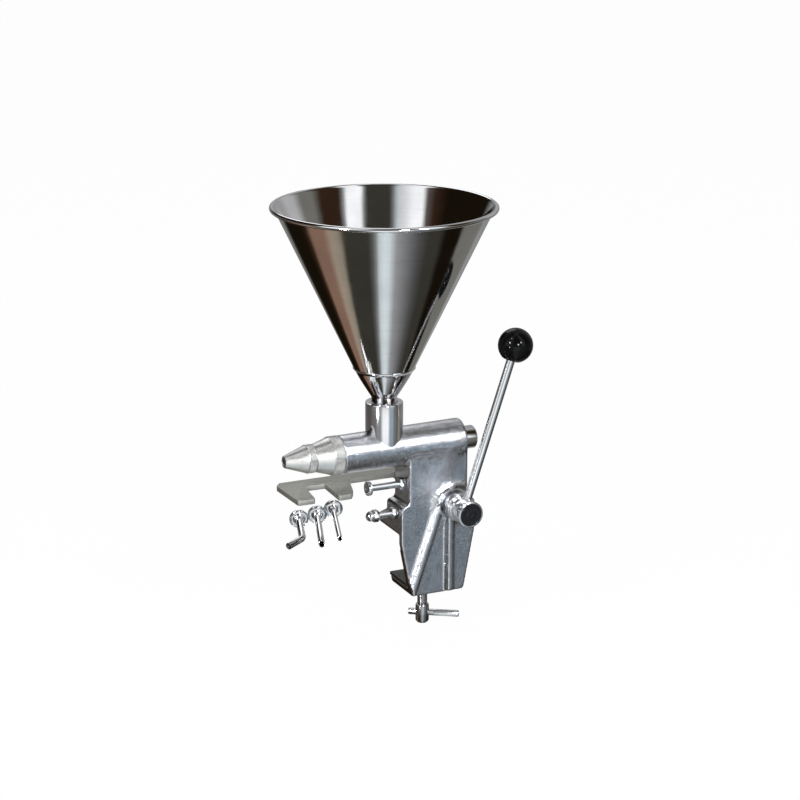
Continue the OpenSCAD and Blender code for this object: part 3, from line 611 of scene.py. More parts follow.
def resin(name, base, rough, coat=0.6, height=0.00002, gloss=0.5):
    """Moulded resin or rubber with a faint skin and hair scratches."""
    recipe = Recipe(name).set(Metallic=0.0, Coat_Weight=coat, Coat_Roughness=0.04, Specular_IOR_Level=gloss)
    dust = recipe.ranged(recipe.noise(0.003, 5, rough=0.7), 0.0, 0.5, 0.5, 0.8)
    lighter = tuple(channel * 1.5 + 0.002 for channel in base)
    recipe.link(recipe.tinted(dust, base, lighter), recipe.shader.inputs["Base Color"])
    recipe.link(recipe.ranged(recipe.noise(0.008, 4, seed=(3, 1, 2)), *rough), recipe.shader.inputs["Roughness"])
    recipe.bump(recipe.noise(0.006, 2), height)
    recipe.bump(recipe.noise(0.0005, 3, (1, 1, 8), seed=(5, 5, 5)), height / 8)
    return recipe.material


LENGTHWISE_X = (60, 1, 1)
AROUND_X = (0.6, 12, 12)
AROUND_Y = (12, 0.6, 12)
AROUND_Z = (25, 25, 0.6)
BRUSHED_X = (30, 1, 1)


def finishes():
    """The finishes, each made once."""
    if "hopper" in FINISHES:
        return FINISHES
    colours = bpy.context.scene.filler_finishes
    FINISHES.update(
        hopper=polished("hopper_steel", tuple(colours.hopper), (0.03, 0.09), AROUND_Z),
        neck=polished("neck_steel", tuple(colours.hopper), (0.09, 0.18), AROUND_Z, wave=0.00006, wave_size=0.02),
        casting=cast("cast_alloy", tuple(colours.casting), (0.11, 0.20)),
        boss=polished("boss_chrome", tuple(colours.bright), (0.10, 0.20), AROUND_Y, wave=0.0001, wave_size=0.014),
        turned=satin("turned_alloy", tuple(colours.turned), (0.30, 0.42), AROUND_X),
        bright_x=polished("stop_steel", tuple(colours.bright), (0.05, 0.12), AROUND_X, wave=0.00004, wave_size=0.01),
        hub=polished("hub_chrome", tuple(colours.bright), (0.04, 0.10), AROUND_Y, wave=0.00005, wave_size=0.012),
        rod=polished("rod_chrome", tuple(colours.bright), (0.07, 0.14), (12, 12, 1), wave=0.00004, wave_size=0.02),
        bar=satin("clamp_steel", tuple(colours.bright), (0.15, 0.26), (2, 2, 12)),
        # The clamp screw's finish is the bright steel at half its colour: painted shade for the dark that the steel
        # reflects.
        screw=satin("shaded_screw_steel", shade(tuple(colours.bright), 0.5), (0.12, 0.24), (2, 2, 12)),
        fork=satin("fork_steel", tuple(colours.fork), (0.55, 0.68), BRUSHED_X, height=0.00004, tone=0.12),
        plate=satin("plate_steel", tuple(colours.plate), (0.38, 0.55), (8, 8, 1), height=0.00004, tone=0.3),
        inner=satin("inner_steel", shade(tuple(colours.bright), 0.85), (0.25, 0.40), (6, 6, 1)),
        dark=satin("dark_steel", (0.16, 0.16, 0.17), (0.30, 0.45), (4, 4, 1)),
        bronze=satin("bronze", tuple(colours.bronze), (0.28, 0.42), AROUND_Y),
        nozzle=polished("nozzle_chrome", tuple(colours.bright), (0.08, 0.17), (3, 12, 3), wave=0.00003, wave_size=0.008),
        knob=resin("black_resin", tuple(colours.knob), (0.02, 0.04), coat=0.0, gloss=0.16, height=0.000004),
        cap=resin("black_cap", (0.008, 0.008, 0.009), (0.18, 0.30), coat=0.0, gloss=0.4),
        seal=resin("white_seal", tuple(colours.seal), (0.40, 0.55), coat=0.0),
        ring=resin("black_seal", (0.02, 0.02, 0.02), (0.40, 0.55), coat=0.0),
    )
    return FINISHES


FINISHES = {}


# ---------------------------------------------------------------- pieces


class FILLER_OT_stage(bpy.types.Operator):
    """Sets up the floor, the surround that the metal reflects, the lamps and the camera"""

    bl_idname = "filler.stage"
    bl_label = "Stage"

    def execute(self, context):
        values = context.scene.filler_stage
        low = CAD_BOX[0][2] - values.floor_gap
        self.floor(low)
        self.surround()
        self.lamps(values)
        self.world(context.scene)
        self.camera(context.scene, values)
        return {"FINISHED"}

    def floor(self, low):
        bpy.ops.object.select_all(action="DESELECT")
        bpy.ops.mesh.primitive_circle_add(vertices=96, radius=7, fill_type="NGON", location=(0, 0, low))
        floor = bpy.context.object
        floor.name = "studio_floor"
        recipe = Recipe("floor_white").set(Roughness=0.9, Specular_IOR_Level=0.1)
        recipe.shader.inputs["Base Color"].default_value = (0.90, 0.90, 0.90, 1)
        glow = recipe.tree.nodes.new("ShaderNodeEmission")
        rays = recipe.tree.nodes.new("ShaderNodeLightPath")
        seen = recipe.tree.nodes.new("ShaderNodeMath")
        seen.operation = "MAXIMUM"
        both = recipe.tree.nodes.new("ShaderNodeMath")
        both.operation = "MAXIMUM"
        share = recipe.tree.nodes.new("ShaderNodeMath")
        share.operation = "MULTIPLY"
        share.inputs[1].default_value = 0.97
        mix = recipe.tree.nodes.new("ShaderNodeMixShader")
        recipe.link(rays.outputs["Is Camera Ray"], seen.inputs[0])
        recipe.link(rays.outputs["Is Glossy Ray"], seen.inputs[1])
        recipe.link(seen.outputs[0], both.inputs[0])
        recipe.link(rays.outputs["Is Transmission Ray"], both.inputs[1])
        recipe.link(both.outputs[0], share.inputs[0])
        recipe.link(share.outputs[0], mix.inputs["Fac"])
        recipe.link(recipe.shader.outputs["BSDF"], mix.inputs[1])
        recipe.link(glow.outputs["Emission"], mix.inputs[2])
        recipe.link(mix.outputs["Shader"], recipe.out.inputs["Surface"])
        floor.data.materials.append(recipe.material)
        floor.visible_glossy = False

    def surround(self):
        """A sphere that only reflections see, with soft panels by compass and height."""
        bpy.ops.object.select_all(action="DESELECT")
        bpy.ops.mesh.primitive_uv_sphere_add(segments=96, ring_count=48, radius=6)
        dome = bpy.context.object
        dome.name = "studio_surround"
        recipe = Recipe("surround_panels")
        recipe.tree.nodes.remove(recipe.shader)
        nodes = recipe.tree.nodes
        mapping = nodes.new("ShaderNodeMapping")
        way = bpy.context.scene.filler_stage.camera_way
        mapping.inputs["Scale"].default_value = (1, -1, 1)
        mapping.inputs["Rotation"].default_value = (0, 0, math.atan2(way[1], way[0]))
        recipe.link(recipe.place, mapping.inputs["Vector"])
        compass = nodes.new("ShaderNodeTexGradient")
        compass.gradient_type = "RADIAL"
        recipe.link(mapping.outputs["Vector"], compass.inputs["Vector"])
        split = nodes.new("ShaderNodeSeparateXYZ")
        recipe.link(recipe.place, split.inputs["Vector"])
        below = self.panels(recipe, compass, PANELS_BELOW)
        level = self.panels(recipe, compass, PANELS_LEVEL)
        above = self.panels(recipe, compass, PANELS_ABOVE)
        mixed = self.blend(recipe, split, below, level, -2.5, -1.8)
        mixed = self.blend(recipe, split, mixed, above, 0.2, 1.4)
        top = nodes.new("ShaderNodeRGB")
        top.outputs[0].default_value = (0.60, 0.61, 0.62, 1)
        mixed = self.blend(recipe, split, mixed, top.outputs[0], 5.75, 5.92)
        glow = nodes.new("ShaderNodeEmission")
        recipe.link(mixed, glow.inputs["Color"])
        recipe.link(glow.outputs["Emission"], recipe.out.inputs["Surface"])
        dome.data.materials.append(recipe.material)
        dome.visible_camera = False
        dome.visible_diffuse = False
        dome.visible_shadow = False
        dome.visible_transmission = False
        dome.visible_volume_scatter = False

    def panels(self, recipe, compass, stops):
        ramp = recipe.tree.nodes.new("ShaderNodeValToRGB")
        recipe.link(compass.outputs["Fac"], ramp.inputs["Fac"])
        ends = ramp.color_ramp.elements
        while len(ends) > 1:
            ends.remove(ends[-1])
        for index, (degrees, tone) in enumerate(stops):
            place = (degrees + 180) / 360
            stop = ends[0] if index == 0 else ends.new(place)
            stop.position = place
            stop.color = (*tone, 1)
        return ramp.outputs["Color"]

    def blend(self, recipe, split, first, second, start, end):
        fac = recipe.ranged(split.outputs["Z"], 0.0, 1.0, start, end)
        node = recipe.tree.nodes.new("ShaderNodeMix")
        node.data_type = "RGBA"
        recipe.link(fac, node.inputs["Factor"])
        recipe.link(first, node.inputs["A"])
        recipe.link(second, node.inputs["B"])
        return node.outputs["Result"]

    def lamps(self, values):
        for name, place, size, power in (
            ("main_lamp", (-0.25, -2.25, 0.95), 0.4, values.lamp_power * 1.1),
            ("right_lamp", (0.55, -2.05, 1.35), 0.34, values.lamp_power * 0.9),
            ("left_lamp", (-1.95, -0.85, 1.30), 0.34, values.lamp_power * 1.2),
            ("low_lamp", (-2.18, -1.11, 0.16), 0.3, values.lamp_power * 0.5),
            ("back_lamp", (0.3, 1.7, 1.7), 1.3, values.lamp_power * 0.35),
        ):
            bpy.ops.object.select_all(action="DESELECT")
            bpy.ops.object.light_add(type="AREA", location=place)
            lamp = bpy.context.object
            lamp.name = name
            lamp.data.shape = "DISK"
            lamp.data.size = size
            lamp.data.energy = power
            lamp.rotation_euler = (Vector((0, 0, 0.1)) - Vector(place)).to_track_quat("-Z", "Y").to_euler()

    def world(self, scene):
        """Soft grey light, and white where the camera, metal and glass look past the stage."""
        world = bpy.data.worlds.new("studio_world")
        scene.world = world
        world.use_nodes = True
        tree = world.node_tree
        tree.nodes.clear()
        out = tree.nodes.new("ShaderNodeOutputWorld")
        soft = tree.nodes.new("ShaderNodeBackground")
        soft.inputs["Color"].default_value = (0.93, 0.95, 1.0, 1)
        soft.inputs["Strength"].default_value = 0.55
        white = tree.nodes.new("ShaderNodeBackground")
        white.inputs["Color"].default_value = (1, 1, 1, 1)
        white.inputs["Strength"].default_value = 1.0
        rays = tree.nodes.new("ShaderNodeLightPath")
        seen = tree.nodes.new("ShaderNodeMath")
        seen.operation = "MAXIMUM"
        both = tree.nodes.new("ShaderNodeMath")
        both.operation = "MAXIMUM"
        mix = tree.nodes.new("ShaderNodeMixShader")
        tree.links.new(rays.outputs["Is Camera Ray"], seen.inputs[0])
        tree.links.new(rays.outputs["Is Glossy Ray"], seen.inputs[1])
        tree.links.new(seen.outputs[0], both.inputs[0])
        tree.links.new(rays.outputs["Is Transmission Ray"], both.inputs[1])
        tree.links.new(both.outputs[0], mix.inputs["Fac"])
        tree.links.new(soft.outputs["Background"], mix.inputs[1])
        tree.links.new(white.outputs["Background"], mix.inputs[2])
        tree.links.new(mix.outputs["Shader"], out.inputs["Surface"])

    def camera(self, scene, values):
        way = Vector(values.camera_way).normalized()
        turn = way.to_track_quat("-Z", "Y").to_matrix() @ Matrix.Rotation(values.camera_roll, 3, "Z")
        data = bpy.data.cameras.new("photo_camera")
        data.lens = values.lens
        data.sensor_width = 36
        data.clip_start = 0.05
        data.clip_end = 40
        camera = bpy.data.objects.new("photo_camera", data)
        scene.collection.objects.link(camera)
        camera.matrix_world = Matrix.Translation(values.camera_place) @ turn.to_4x4()
        scene.camera = camera


# Panels of the surround: degrees right of where the camera looks, and a colour.
SOOT = (0.009, 0.006, 0.003)
UMBER = (0.035, 0.018, 0.010)
OLIVE_DARK = (0.042, 0.040, 0.031)
OLIVE = (0.19, 0.185, 0.165)
RUST = (0.25, 0.15, 0.105)
SAND = (0.38, 0.31, 0.235)
DUSK = (0.11, 0.095, 0.09)
STEEL = (0.26, 0.27, 0.27)
LAVENDER = (0.31, 0.40, 0.47)
PALE = (0.62, 0.68, 0.69)
WHITE = (1.15, 1.17, 1.17)


def grey(level):
    return (level, level, level)


PANELS_BELOW = [
    (-180, (0.76, 0.84, 0.84)), (-167, PALE), (-160, STEEL), (-152, grey(0.11)), (-142, OLIVE_DARK), (-101, OLIVE_DARK),
    (-95, (0.30, 0.26, 0.20)), (-84, SAND), (-76, RUST), (-61, RUST), (-57, UMBER), (-50, SOOT), (-27, SOOT),
    (-20, UMBER), (-12, OLIVE), (3, (0.80, 0.80, 0.77)), (12, PALE), (20, grey(0.38)), (29, OLIVE), (53, OLIVE),
    (56, SOOT), (74, SOOT), (81, OLIVE_DARK), (95, OLIVE_DARK), (108, grey(0.085)), (122, grey(0.17)),
    (138, STEEL), (150, grey(0.34)), (160, (0.54, 0.58, 0.60)), (167, (0.70, 0.77, 0.79)), (180, (0.76, 0.84, 0.84)),
]
PANELS_LEVEL = [
    (-180, WHITE), (-173, WHITE), (-166, PALE), (-158, STEEL), (-142, STEEL), (-128, grey(0.15)), (-110, grey(0.17)),
    (-92, DUSK), (-62, DUSK), (-30, OLIVE), (10, STEEL), (45, STEEL), (64, OLIVE), (86, OLIVE), (98, DUSK),
    (108, OLIVE), (120, OLIVE), (127, LAVENDER), (145, LAVENDER), (151, PALE), (157, WHITE), (180, WHITE),
]
PANELS_ABOVE = [
    (-180, OLIVE_DARK), (-170, OLIVE_DARK), (-164, grey(0.17)), (-155, PALE), (-143, grey(0.85)), (-130, WHITE),
    (-117, WHITE), (-111, DUSK), (-101, UMBER), (-85, SOOT), (-32, SOOT), (-22, STEEL), (-5, grey(0.42)),
    (28, grey(0.36)), (40, grey(0.52)), (50, grey(0.50)), (60, OLIVE), (74, OLIVE), (84, UMBER), (108, UMBER),
    (114, STEEL), (119, WHITE), (140, WHITE), (145, STEEL), (150, OLIVE_DARK), (180, OLIVE_DARK),
]


class FILLER_OT_casting(bpy.types.Operator):
    """Models the cast body: the solid re-skinned with an even grid, so that its edges round as cast ones do"""

    bl_idname = "filler.casting"
    bl_label = "Cast body"

    def execute(self, context):
        sizes = context.scene.filler_cast
        use = finishes()
        body = merged_copy("body_casting", "cast_body")
        axis = toward(ASIDE, Vector((SHAFT.x, CROSS.y, SHAFT.z)))
        out = sizes.boss_radius / MM
        wall, foot, wide = 21, sizes.foot_height / MM, sizes.foot_width / MM
        sweep = [math.radians(90 - 90 * step / 12) for step in range(13)]
        flare = turned("boss_foot", [
            (wall - 2, out + wide), *[(wall + foot * (1 - math.sin(t)), out + wide * (1 - math.cos(t))) for t in sweep],
        ], sides=96, solid=True)
        settle(flare, axis)
        open_mesh(flare, "FACE")
        bpy.ops.mesh.select_all(action="SELECT")
        bpy.ops.mesh.bisect(
            plane_co=SHAFT + Vector((19 * MM, 0, 0)), plane_no=(1, 0, 0), use_fill=True, clear_outer=True
        )
        close_mesh()
        body = joined("cast_body", body, flare)
        modified(body, "REMESH", mode="VOXEL", voxel_size=sizes.grid)
        modified(body, "SMOOTH", factor=0.5, iterations=sizes.rounding)
        body.data.materials.clear()
        body.data.materials.append(use["casting"])
        open_mesh(body, "VERT")
        rear = SHAFT.x + 14 * MM
        front = CROSS.x + 27 * MM

        def under_barrel(corner):
            down = corner.co.z - CROSS.z
            return corner.co.y < CROSS.y - 15 * MM and front < corner.co.x < rear and -34 * MM < down < -2 * MM

        pick(body, "VERT", under_barrel)
        bpy.ops.mesh.vertices_smooth(factor=0.5, repeat=240)
        bpy.ops.object.mode_set(mode="OBJECT")
        end = wall + 24
        sleeve = turned("boss_sleeve", [
            (wall + foot - 1.5, out - 1), (wall + foot - 0.6, out), (end - 0.6, out), (end - 0.15, out - 0.2),
            (end, out - 0.6), (end, out - 5), (wall + foot - 1.5, out - 5), (wall + foot - 1.5, out - 1),
        ], sides=144)
        settle(sleeve, axis)
        sleeve.data.materials.append(use["boss"])
        body = joined("cast_body", body, sleeve)
        done(body, None, "cast_alloy", "body", "body_casting", smooth=60)
        return {"FINISHED"}


class FILLER_OT_neck(bpy.types.Operator):
    """Models the neck tube, saddled onto the barrel"""

    bl_idname = "filler.neck"
    bl_label = "Neck"

    def execute(self, context):
        sizes = context.scene.filler_hopper
        out = sizes.neck_radius / MM
        top = sizes.neck_top / MM
        fit = sizes.spigot_radius / MM + 0.05
        bore = fit - 1.55
        neck = turned("neck", [
            (5, bore), (5, out), (top - 0.9, out), (top - 0.25, out - 0.25), (top, out - 0.9),
            (top, fit + 1), (top - 1, fit), (37.7, fit), (37.7, bore), (5, bore),
        ], sides=144)
        settle(neck, Matrix.Translation(CROSS))
        barrel = turned("barrel_cutter", [(-95, 24), (56, 22)], sides=144, solid=True)
        settle(barrel, toward(FORWARD, CROSS))
        modified(neck, "BOOLEAN", operation="DIFFERENCE", object=barrel, solver="EXACT")
        bpy.data.objects.remove(barrel)
        open_mesh(neck, "FACE")
        close_mesh()
        done(neck, finishes()["neck"], "mirror_steel", "body", "neck_tube")
        return {"FINISHED"}


class FILLER_OT_hopper(bpy.types.Operator):
    """Models the hopper with its rolled rim, weld and spigot"""

    bl_idname = "filler.hopper"
    bl_label = "Hopper"

    def execute(self, context):
        sizes = context.scene.filler_hopper
        weld, weld_up, sheet = (value / MM for value in (sizes.weld_radius, sizes.weld_height, sizes.sheet))
        roll = sizes.bead / MM / 2
        rim_up = sizes.rim_height / MM - roll
        rim_out = sizes.rim_radius / MM - roll
        cone_top = rim_out - roll + sheet / 2
        slope = (cone_top - weld) / (rim_up - weld_up)
        run = sheet * math.hypot(slope, 1)
        cone = turned("hopper_cone", [
            (weld_up, weld - run), (rim_up, cone_top - run), *arc((rim_up, rim_out), roll, 168, -152, 20),
            (rim_up - 2.6, cone_top - 2.6 * slope), (weld_up, weld), (weld_up, weld - run),
        ], sides=224)
        settle(cone, Matrix.Translation(CROSS))
        done(cone, finishes()["hopper"], "mirror_steel", "hopper", "hopper_cone", smooth=40)

        spigot = sizes.spigot_radius / MM
        lead = sizes.neck_top / MM + 6
        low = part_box("hopper_outlet")[0][2] - CROSS.z
        start = Vector((weld, weld_up))
        end = Vector((spigot, lead))
        pulls = (start - 16 * Vector((slope, 1)), end + Vector((2.3, 4)))

        def bend(share, inward):
            corner = Vector((inward, 0))
            a, b, c, d = start - corner, pulls[0] - corner, pulls[1] - corner, end - corner
            point = (1 - share) ** 3 * a + 3 * share * (1 - share) ** 2 * b
            point += 3 * share**2 * (1 - share) * c + share**3 * d
            return (point.y, point.x)

        steps = 22
        seam = [(weld_up - 0.2, weld + 0.05), (weld_up - 0.5, weld + 0.55), (weld_up - 1.2, weld + 0.62)]
        seam += [(weld_up - 1.9, weld + 0.1), (weld_up - 2.2, weld - 0.75)]
        outlet = turned("hopper_outlet", [
            (low / MM, spigot - sheet), (lead, spigot - sheet),
            *[bend(i / steps, run) for i in range(steps - 1, -1, -1)],
            (weld_up, weld), *seam, *[bend(i / steps, 0) for i in range(2, steps + 1)],
            (low / MM + 0.6, spigot), (low / MM, spigot - 0.3), (low / MM, spigot - sheet),
        ], sides=144)
        settle(outlet, Matrix.Translation(CROSS))
        done(outlet, finishes()["hopper"], "mirror_steel", "hopper", "hopper_outlet", smooth=40)
        return {"FINISHED"}


class FILLER_OT_nose(bpy.types.Operator):
    """Models the knurled reducer cap and nose cap"""

    bl_idname = "filler.nose"
    bl_label = "Reducer and nose"

    def execute(self, context):
        sizes = context.scene.filler_nose
        use = finishes()
        pitch, groove = sizes.knurl_pitch, sizes.knurl_depth
        band = sizes.band_radius
        r, under = band / MM, (band - groove) / MM - 0.25
        reducer = turned("reducer_cap", [
            (56.3, 18.55), (56.3, r - 0.9), (56.6, r - 0.35), (57.0, r - 0.25), (57.0, under), (68.6, under),
            (68.6, r - 0.25), (69.0, r - 0.35), (69.3, r - 0.95), (87.5, 15.75), (87.8, 15.4), (87.8, 12.4),
            (95.5, 12.4), (95.8, 12.1), (95.8, 9), (81.8, 9), (70.3, 13.55), (69.3, 13.55), (69.3, 18.55), (56.3, 18.55),
        ], sides=144)
        ring = knurled_ring("reducer_knurl", 57.05 * MM, 68.55 * MM, band, pitch, groove)
        self.fit(joined("reducer_cap", *self.placed(reducer, ring)), use, "reducer", "reducer_cap")

        nose = sizes.nose_radius
        r, under = nose / MM, (nose - groove) / MM - 0.25
        cap = turned("nose_cap", [
            (88.1, 12.45), (88.1, r - 0.8), (88.4, r - 0.3), (88.7, r - 0.25), (88.7, under), (97.4, under),
            (97.4, r - 0.25), (97.7, r - 0.3), (98.1, r - 0.8), (122.4, 7.05), (122.9, 6.85), (123.1, 6.4),
            (123.1, 4.9), (122.8, 4.6), (117.1, 4.6), (97.1, 11.65), (97.1, 12.45), (88.1, 12.45),
        ], sides=128)
        ring = knurled_ring("nose_knurl", 88.75 * MM, 97.35 * MM, nose, pitch, groove)
        self.fit(joined("nose_cap", *self.placed(cap, ring)), use, "nose", "nose_cap")
        carried("barrel_gasket", use["seal"])
        carried("nose_gasket", use["seal"])
        return {"FINISHED"}

    def placed(self, *pieces):
        return [settle(piece, toward(FORWARD, CROSS)) for piece in pieces]

    def fit(self, piece, use, body, node):
        done(piece, use["turned"], "turned_alloy", body, node, smooth=24)


class FILLER_OT_fork(bpy.types.Operator):
    """Models the rest fork and its two socket screws"""

    bl_idname = "filler.fork"
    bl_label = "Rest fork"

    def execute(self, context):
        use = finishes()
        fork = trimmed_copy("rest_fork", "rest_fork", 0.7 * MM)
        done(fork, use["fork"], "turned_alloy", "body", "rest_fork")
        screws = trimmed_copy("fork_screws", "fork_screws", 0.2 * MM)
        done(screws, use["bright_x"], "bright_steel", "body", "fork_screws")
        return {"FINISHED"}


class FILLER_OT_stops(bpy.types.Operator):
    """Models the two stop screws with their lock nuts and the cap nut"""

    bl_idname = "filler.stops"
    bl_label = "Stop screws"

    def execute(self, context):
        use = finishes()
        edge = context.scene.filler_screws.edge
        pitch = context.scene.filler_screws.thread_pitch / MM
        low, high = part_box("upper_stop_screw")
        axis = spot(0, 0, 0)
        axis.y, axis.z = (low.y + high.y) / 2, (low.z + high.z) / 2
        head_front = (CROSS.x - low.x) / MM
        tip = (CROSS.x - high.x) / MM
        head = (high.y - low.y) / 2 / MM
        back = head_front - 5
        screw = turned("upper_stop_screw", [
            (tip, 3.1), (tip + 0.9, 4), (tip + 2, 4), *thread(tip + 2, -14 - tip - 2, 4, pitch), (-14, 4), (back, 4),
            (back, head - 0.8), (back + 0.8, head), (head_front - 1.1, head), (head_front - 0.35, head - 0.45),
            (head_front, head - 1.2), (head_front, 3.2), (head_front - 0.5, 2.7),
        ], sides=64, solid=True)
        self.seat(screw, axis, use, "upper_stop", "upper_stop_screw")
        self.nut("upper_lock_nut", "upper_nut", axis, use)

        low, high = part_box("lower_stop_stud")
        axis = axis.copy()
        axis.z = (low.z + high.z) / 2
        tip = (CROSS.x - high.x) / MM
        front = (CROSS.x - low.x) / MM
        stud = turned("lower_stop_stud", [
            (tip, 3.1), (tip + 0.9, 4), (tip + 2, 4), *thread(tip + 2, -4 - tip - 2, 4, pitch), (-4, 4), (front, 4),
        ], sides=64, solid=True)
        self.seat(stud, axis, use, "lower_stop", "lower_stop_stud")
        self.nut("lower_lock_nut", "lower_nut", axis, use)

        low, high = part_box("lower_cap_nut")
        back, front = (CROSS.x - high.x) / MM, (CROSS.x - low.x) / MM
        dome = turned("cap_dome", [(back + 5.5, 6.1), (front - 6.1, 6.1), *arc((front - 6.1, 0), 6.1, 8, 86, 12)],
                      sides=64, solid=True)
        settle(dome, toward(FORWARD, axis))
        nut = self.hexagon("lower_cap_nut", back, back + 6.5, 13, axis)
        nut = joined("lower_cap_nut", nut, dome)
        round_edges(nut, edge, least=25, segments=2)
        done(nut, use["bright_x"], "bright_steel", "lower_stop", "lower_cap_nut")
        return {"FINISHED"}

    def seat(self, piece, axis, use, body, node):
        settle(piece, toward(FORWARD, axis))
        done(piece, use["bright_x"], "bright_steel", body, node)

    def hexagon(self, name, back, front, across, axis):
        """A hexagonal body whose corners are turned off by a cone."""
        corner = across / 2 / math.cos(math.radians(30))
        nut = turned(name, [(back, corner), (front, corner)], sides=6, solid=True)
        cone = turned("nut_cone", [
            (back, across / 2 - 0.1), (back + 1, corner + 0.2), (front - 1, corner + 0.2), (front, across / 2 - 0.1),
        ], sides=72, solid=True)
        settle(nut, toward(FORWARD, axis))
        settle(cone, toward(FORWARD, axis))
        modified(nut, "BOOLEAN", operation="INTERSECT", object=cone, solver="EXACT")
        bpy.data.objects.remove(cone)
        return nut

    def nut(self, node, body, axis, use):
        low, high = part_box(node)
        back, front = (CROSS.x - high.x) / MM, (CROSS.x - low.x) / MM
        nut = self.hexagon(node, back, front, 13, axis)
        bore = turned("nut_bore", [(back - 1, 4.05), (front + 1, 4.05)], sides=64, solid=True)
        settle(bore, toward(FORWARD, axis))
        modified(nut, "BOOLEAN", operation="DIFFERENCE", object=bore, solver="EXACT")
        bpy.data.objects.remove(bore)
        open_mesh(nut, "FACE")
        close_mesh()
        round_edges(nut, 0.25 * MM, least=25, segments=2)
        done(nut, use["bright_x"], "bright_steel", body, node)


class FILLER_OT_drive(bpy.types.Operator):
    """Models what works inside the body: plunger, crank, key, shaft, bushes and ring"""

    bl_idname = "filler.drive"
    bl_label = "Drive"

    def execute(self, context):
        use = finishes()
        for node, finish, slot, body, edge in (
            ("plunger", "bright_x", "mirror_steel", "piston", 0.25),
            ("plunger_seals", "ring", "black_seal", "piston", 0),
            ("crank_arm", "inner", "bright_steel", "lever", 0.5),
            ("crank_key", "dark", "dark_steel", "lever", 0.2),
            ("crank_set_screw", "dark", "dark_steel", "lever", 0.2),
            ("lever_shaft", "inner", "bright_steel", "lever", 0.3),
            ("shaft_bushes", "bronze", "bronze", "body", 0.2),
            ("shaft_circlip", "dark", "dark_steel", "lever", 0.15),
        ):
            piece = trimmed_copy(node, node + "_finished", edge * MM)
            done(piece, use[finish], slot, body, node)
        return {"FINISHED"}


class FILLER_OT_lever(bpy.types.Operator):
    """Models the lever: hub, bezel, cap, rod and ball knob"""

    bl_idname = "filler.lever"
    bl_label = "Lever"

    def execute(self, context):
        sizes = context.scene.filler_lever
        use = finishes()
        axis = Vector((SHAFT.x, CROSS.y, SHAFT.z))
        r = sizes.hub_radius / MM
        hub = turned("lever_hub", [
            (45.3, r - 0.9), (45.6, r - 0.3), (46.2, r), (67.4, r), (68.0, r - 0.25), (68.3, r - 0.7),
        ], sides=128, solid=True)
        self.seat(hub, toward(ASIDE, axis), use["hub"], "chromed_steel", "lever_hub")

        b = sizes.bezel_radius / MM
        bezel = turned("hub_bezel", [
            (68.3, b - 0.6), (68.5, b - 0.15), (68.9, b), (70.8, b), (71.5, b - 0.25), (71.9, b - 0.8), (72.0, b - 1.3),
            (71.95, b - 1.8), (71.7, b - 2.1), (69.3, b - 2.14),
        ], sides=128, solid=True)
        self.seat(bezel, toward(ASIDE, axis), use["hub"], "chromed_steel", "hub_bezel")

        c = b - 2.2
        cap = turned("hub_cap", [
            (69.3, c), (71.9, c), (72.25, c - 0.25), (72.45, c - 0.8), (72.5, c - 1.6), (72.3, c - 2.6), (72.28, c - 6),
            (72.33, c - 8.4), (72.6, c - 8.9), (72.6, c - 10.2), (72.35, c - 10.8), (72.3, c - 12.2),
        ], sides=128, solid=True)
        self.seat(cap, toward(ASIDE, axis), use["cap"], "black_cap", "hub_cap")

        along = Matrix.Rotation(sizes.lean, 4, "Y")
        start = Matrix.Translation(Vector((SHAFT.x, middle("lever_rod", 1), SHAFT.z))) @ along
        radius = sizes.rod_radius / MM
        length = sizes.length / MM
        rod = turned("lever_rod", [(8.1, radius - 0.3), (8.4, radius), (length - 8.4, radius), (length - 8.1, radius - 0.3)],
                     sides=72, solid=True)
        self.seat(rod, start, use["rod"], "chromed_steel", "lever_rod")

        ball = sizes.knob_radius / MM
        flat = math.degrees(math.asin(0.89))
        foot = ball * math.cos(math.radians(flat))
        knob = turned("lever_knob", [
            (length - ball * 0.89, radius + 0.05), (length - ball * 0.89, foot - 0.5),
            *arc((length, 0), ball, -flat + 1.6, 88.6, 64),
        ], sides=128, solid=True)
        self.seat(knob, start, use["knob"], "black_resin", "lever_knob")
        return {"FINISHED"}

    def seat(self, piece, matrix, finish, slot, node):
        settle(piece, matrix)
        done(piece, finish, slot, "lever", node)


class FILLER_OT_clamp(bpy.types.Operator):
    """Models the clamp: pressure plate, screw and sliding bar"""

    bl_idname = "filler.clamp"
    bl_label = "Clamp"

    def execute(self, context):
        use = finishes()
        pitch = context.scene.filler_screws.clamp_pitch / MM
        plate = trimmed_copy("pressure_plate", "pressure_plate", 0.45 * MM)
        done(plate, use["plate"], "plate_steel", "clamp_plate", "pressure_plate")

        low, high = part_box("clamp_screw")
        axis = Vector(((low.x + high.x) / 2, (low.y + high.y) / 2, CROSS.z))
        foot, top = (low.z - CROSS.z) / MM, (high.z - CROSS.z) / MM
        head = foot + 23
        jaw = -168
        screw = turned("clamp_screw", [
            (foot, 5.6), (foot + 0.5, 6.3), (foot + 2.5, 7.8), (foot + 3.2, 8), (head - 1.6, 8), (head - 0.5, 7.5),
            (head, 6.6), (head, 5.3), (head + 1.2, 5.3), *thread(head + 1.2, jaw - head - 2, 6, pitch, depth=0.35),
            (jaw, 5.6), (jaw, 4), (top, 4),
        ], sides=72, solid=True)
        settle(screw, Matrix.Translation(axis))
        # The screw's finish is the half-bright steel: painted shade.
        done(screw, use["screw"], "bright_steel", "clamp_spindle", "clamp_screw")

        low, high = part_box("clamp_bar")
        centre = (low + high) / 2
        half = 30
        bar = turned("clamp_bar", [
            (-half, 2.9), (-half + 0.35, 3.7), (-half + 0.9, 4), (half - 0.9, 4), (half - 0.35, 3.7), (half, 2.9),
        ], sides=72, solid=True)
        turn = math.radians(-33)
        settle(bar, toward((math.cos(turn), math.sin(turn), 0), centre))
        done(bar, use["bar"], "bright_steel", "clamp_handle", "clamp_bar")
        return {"FINISHED"}


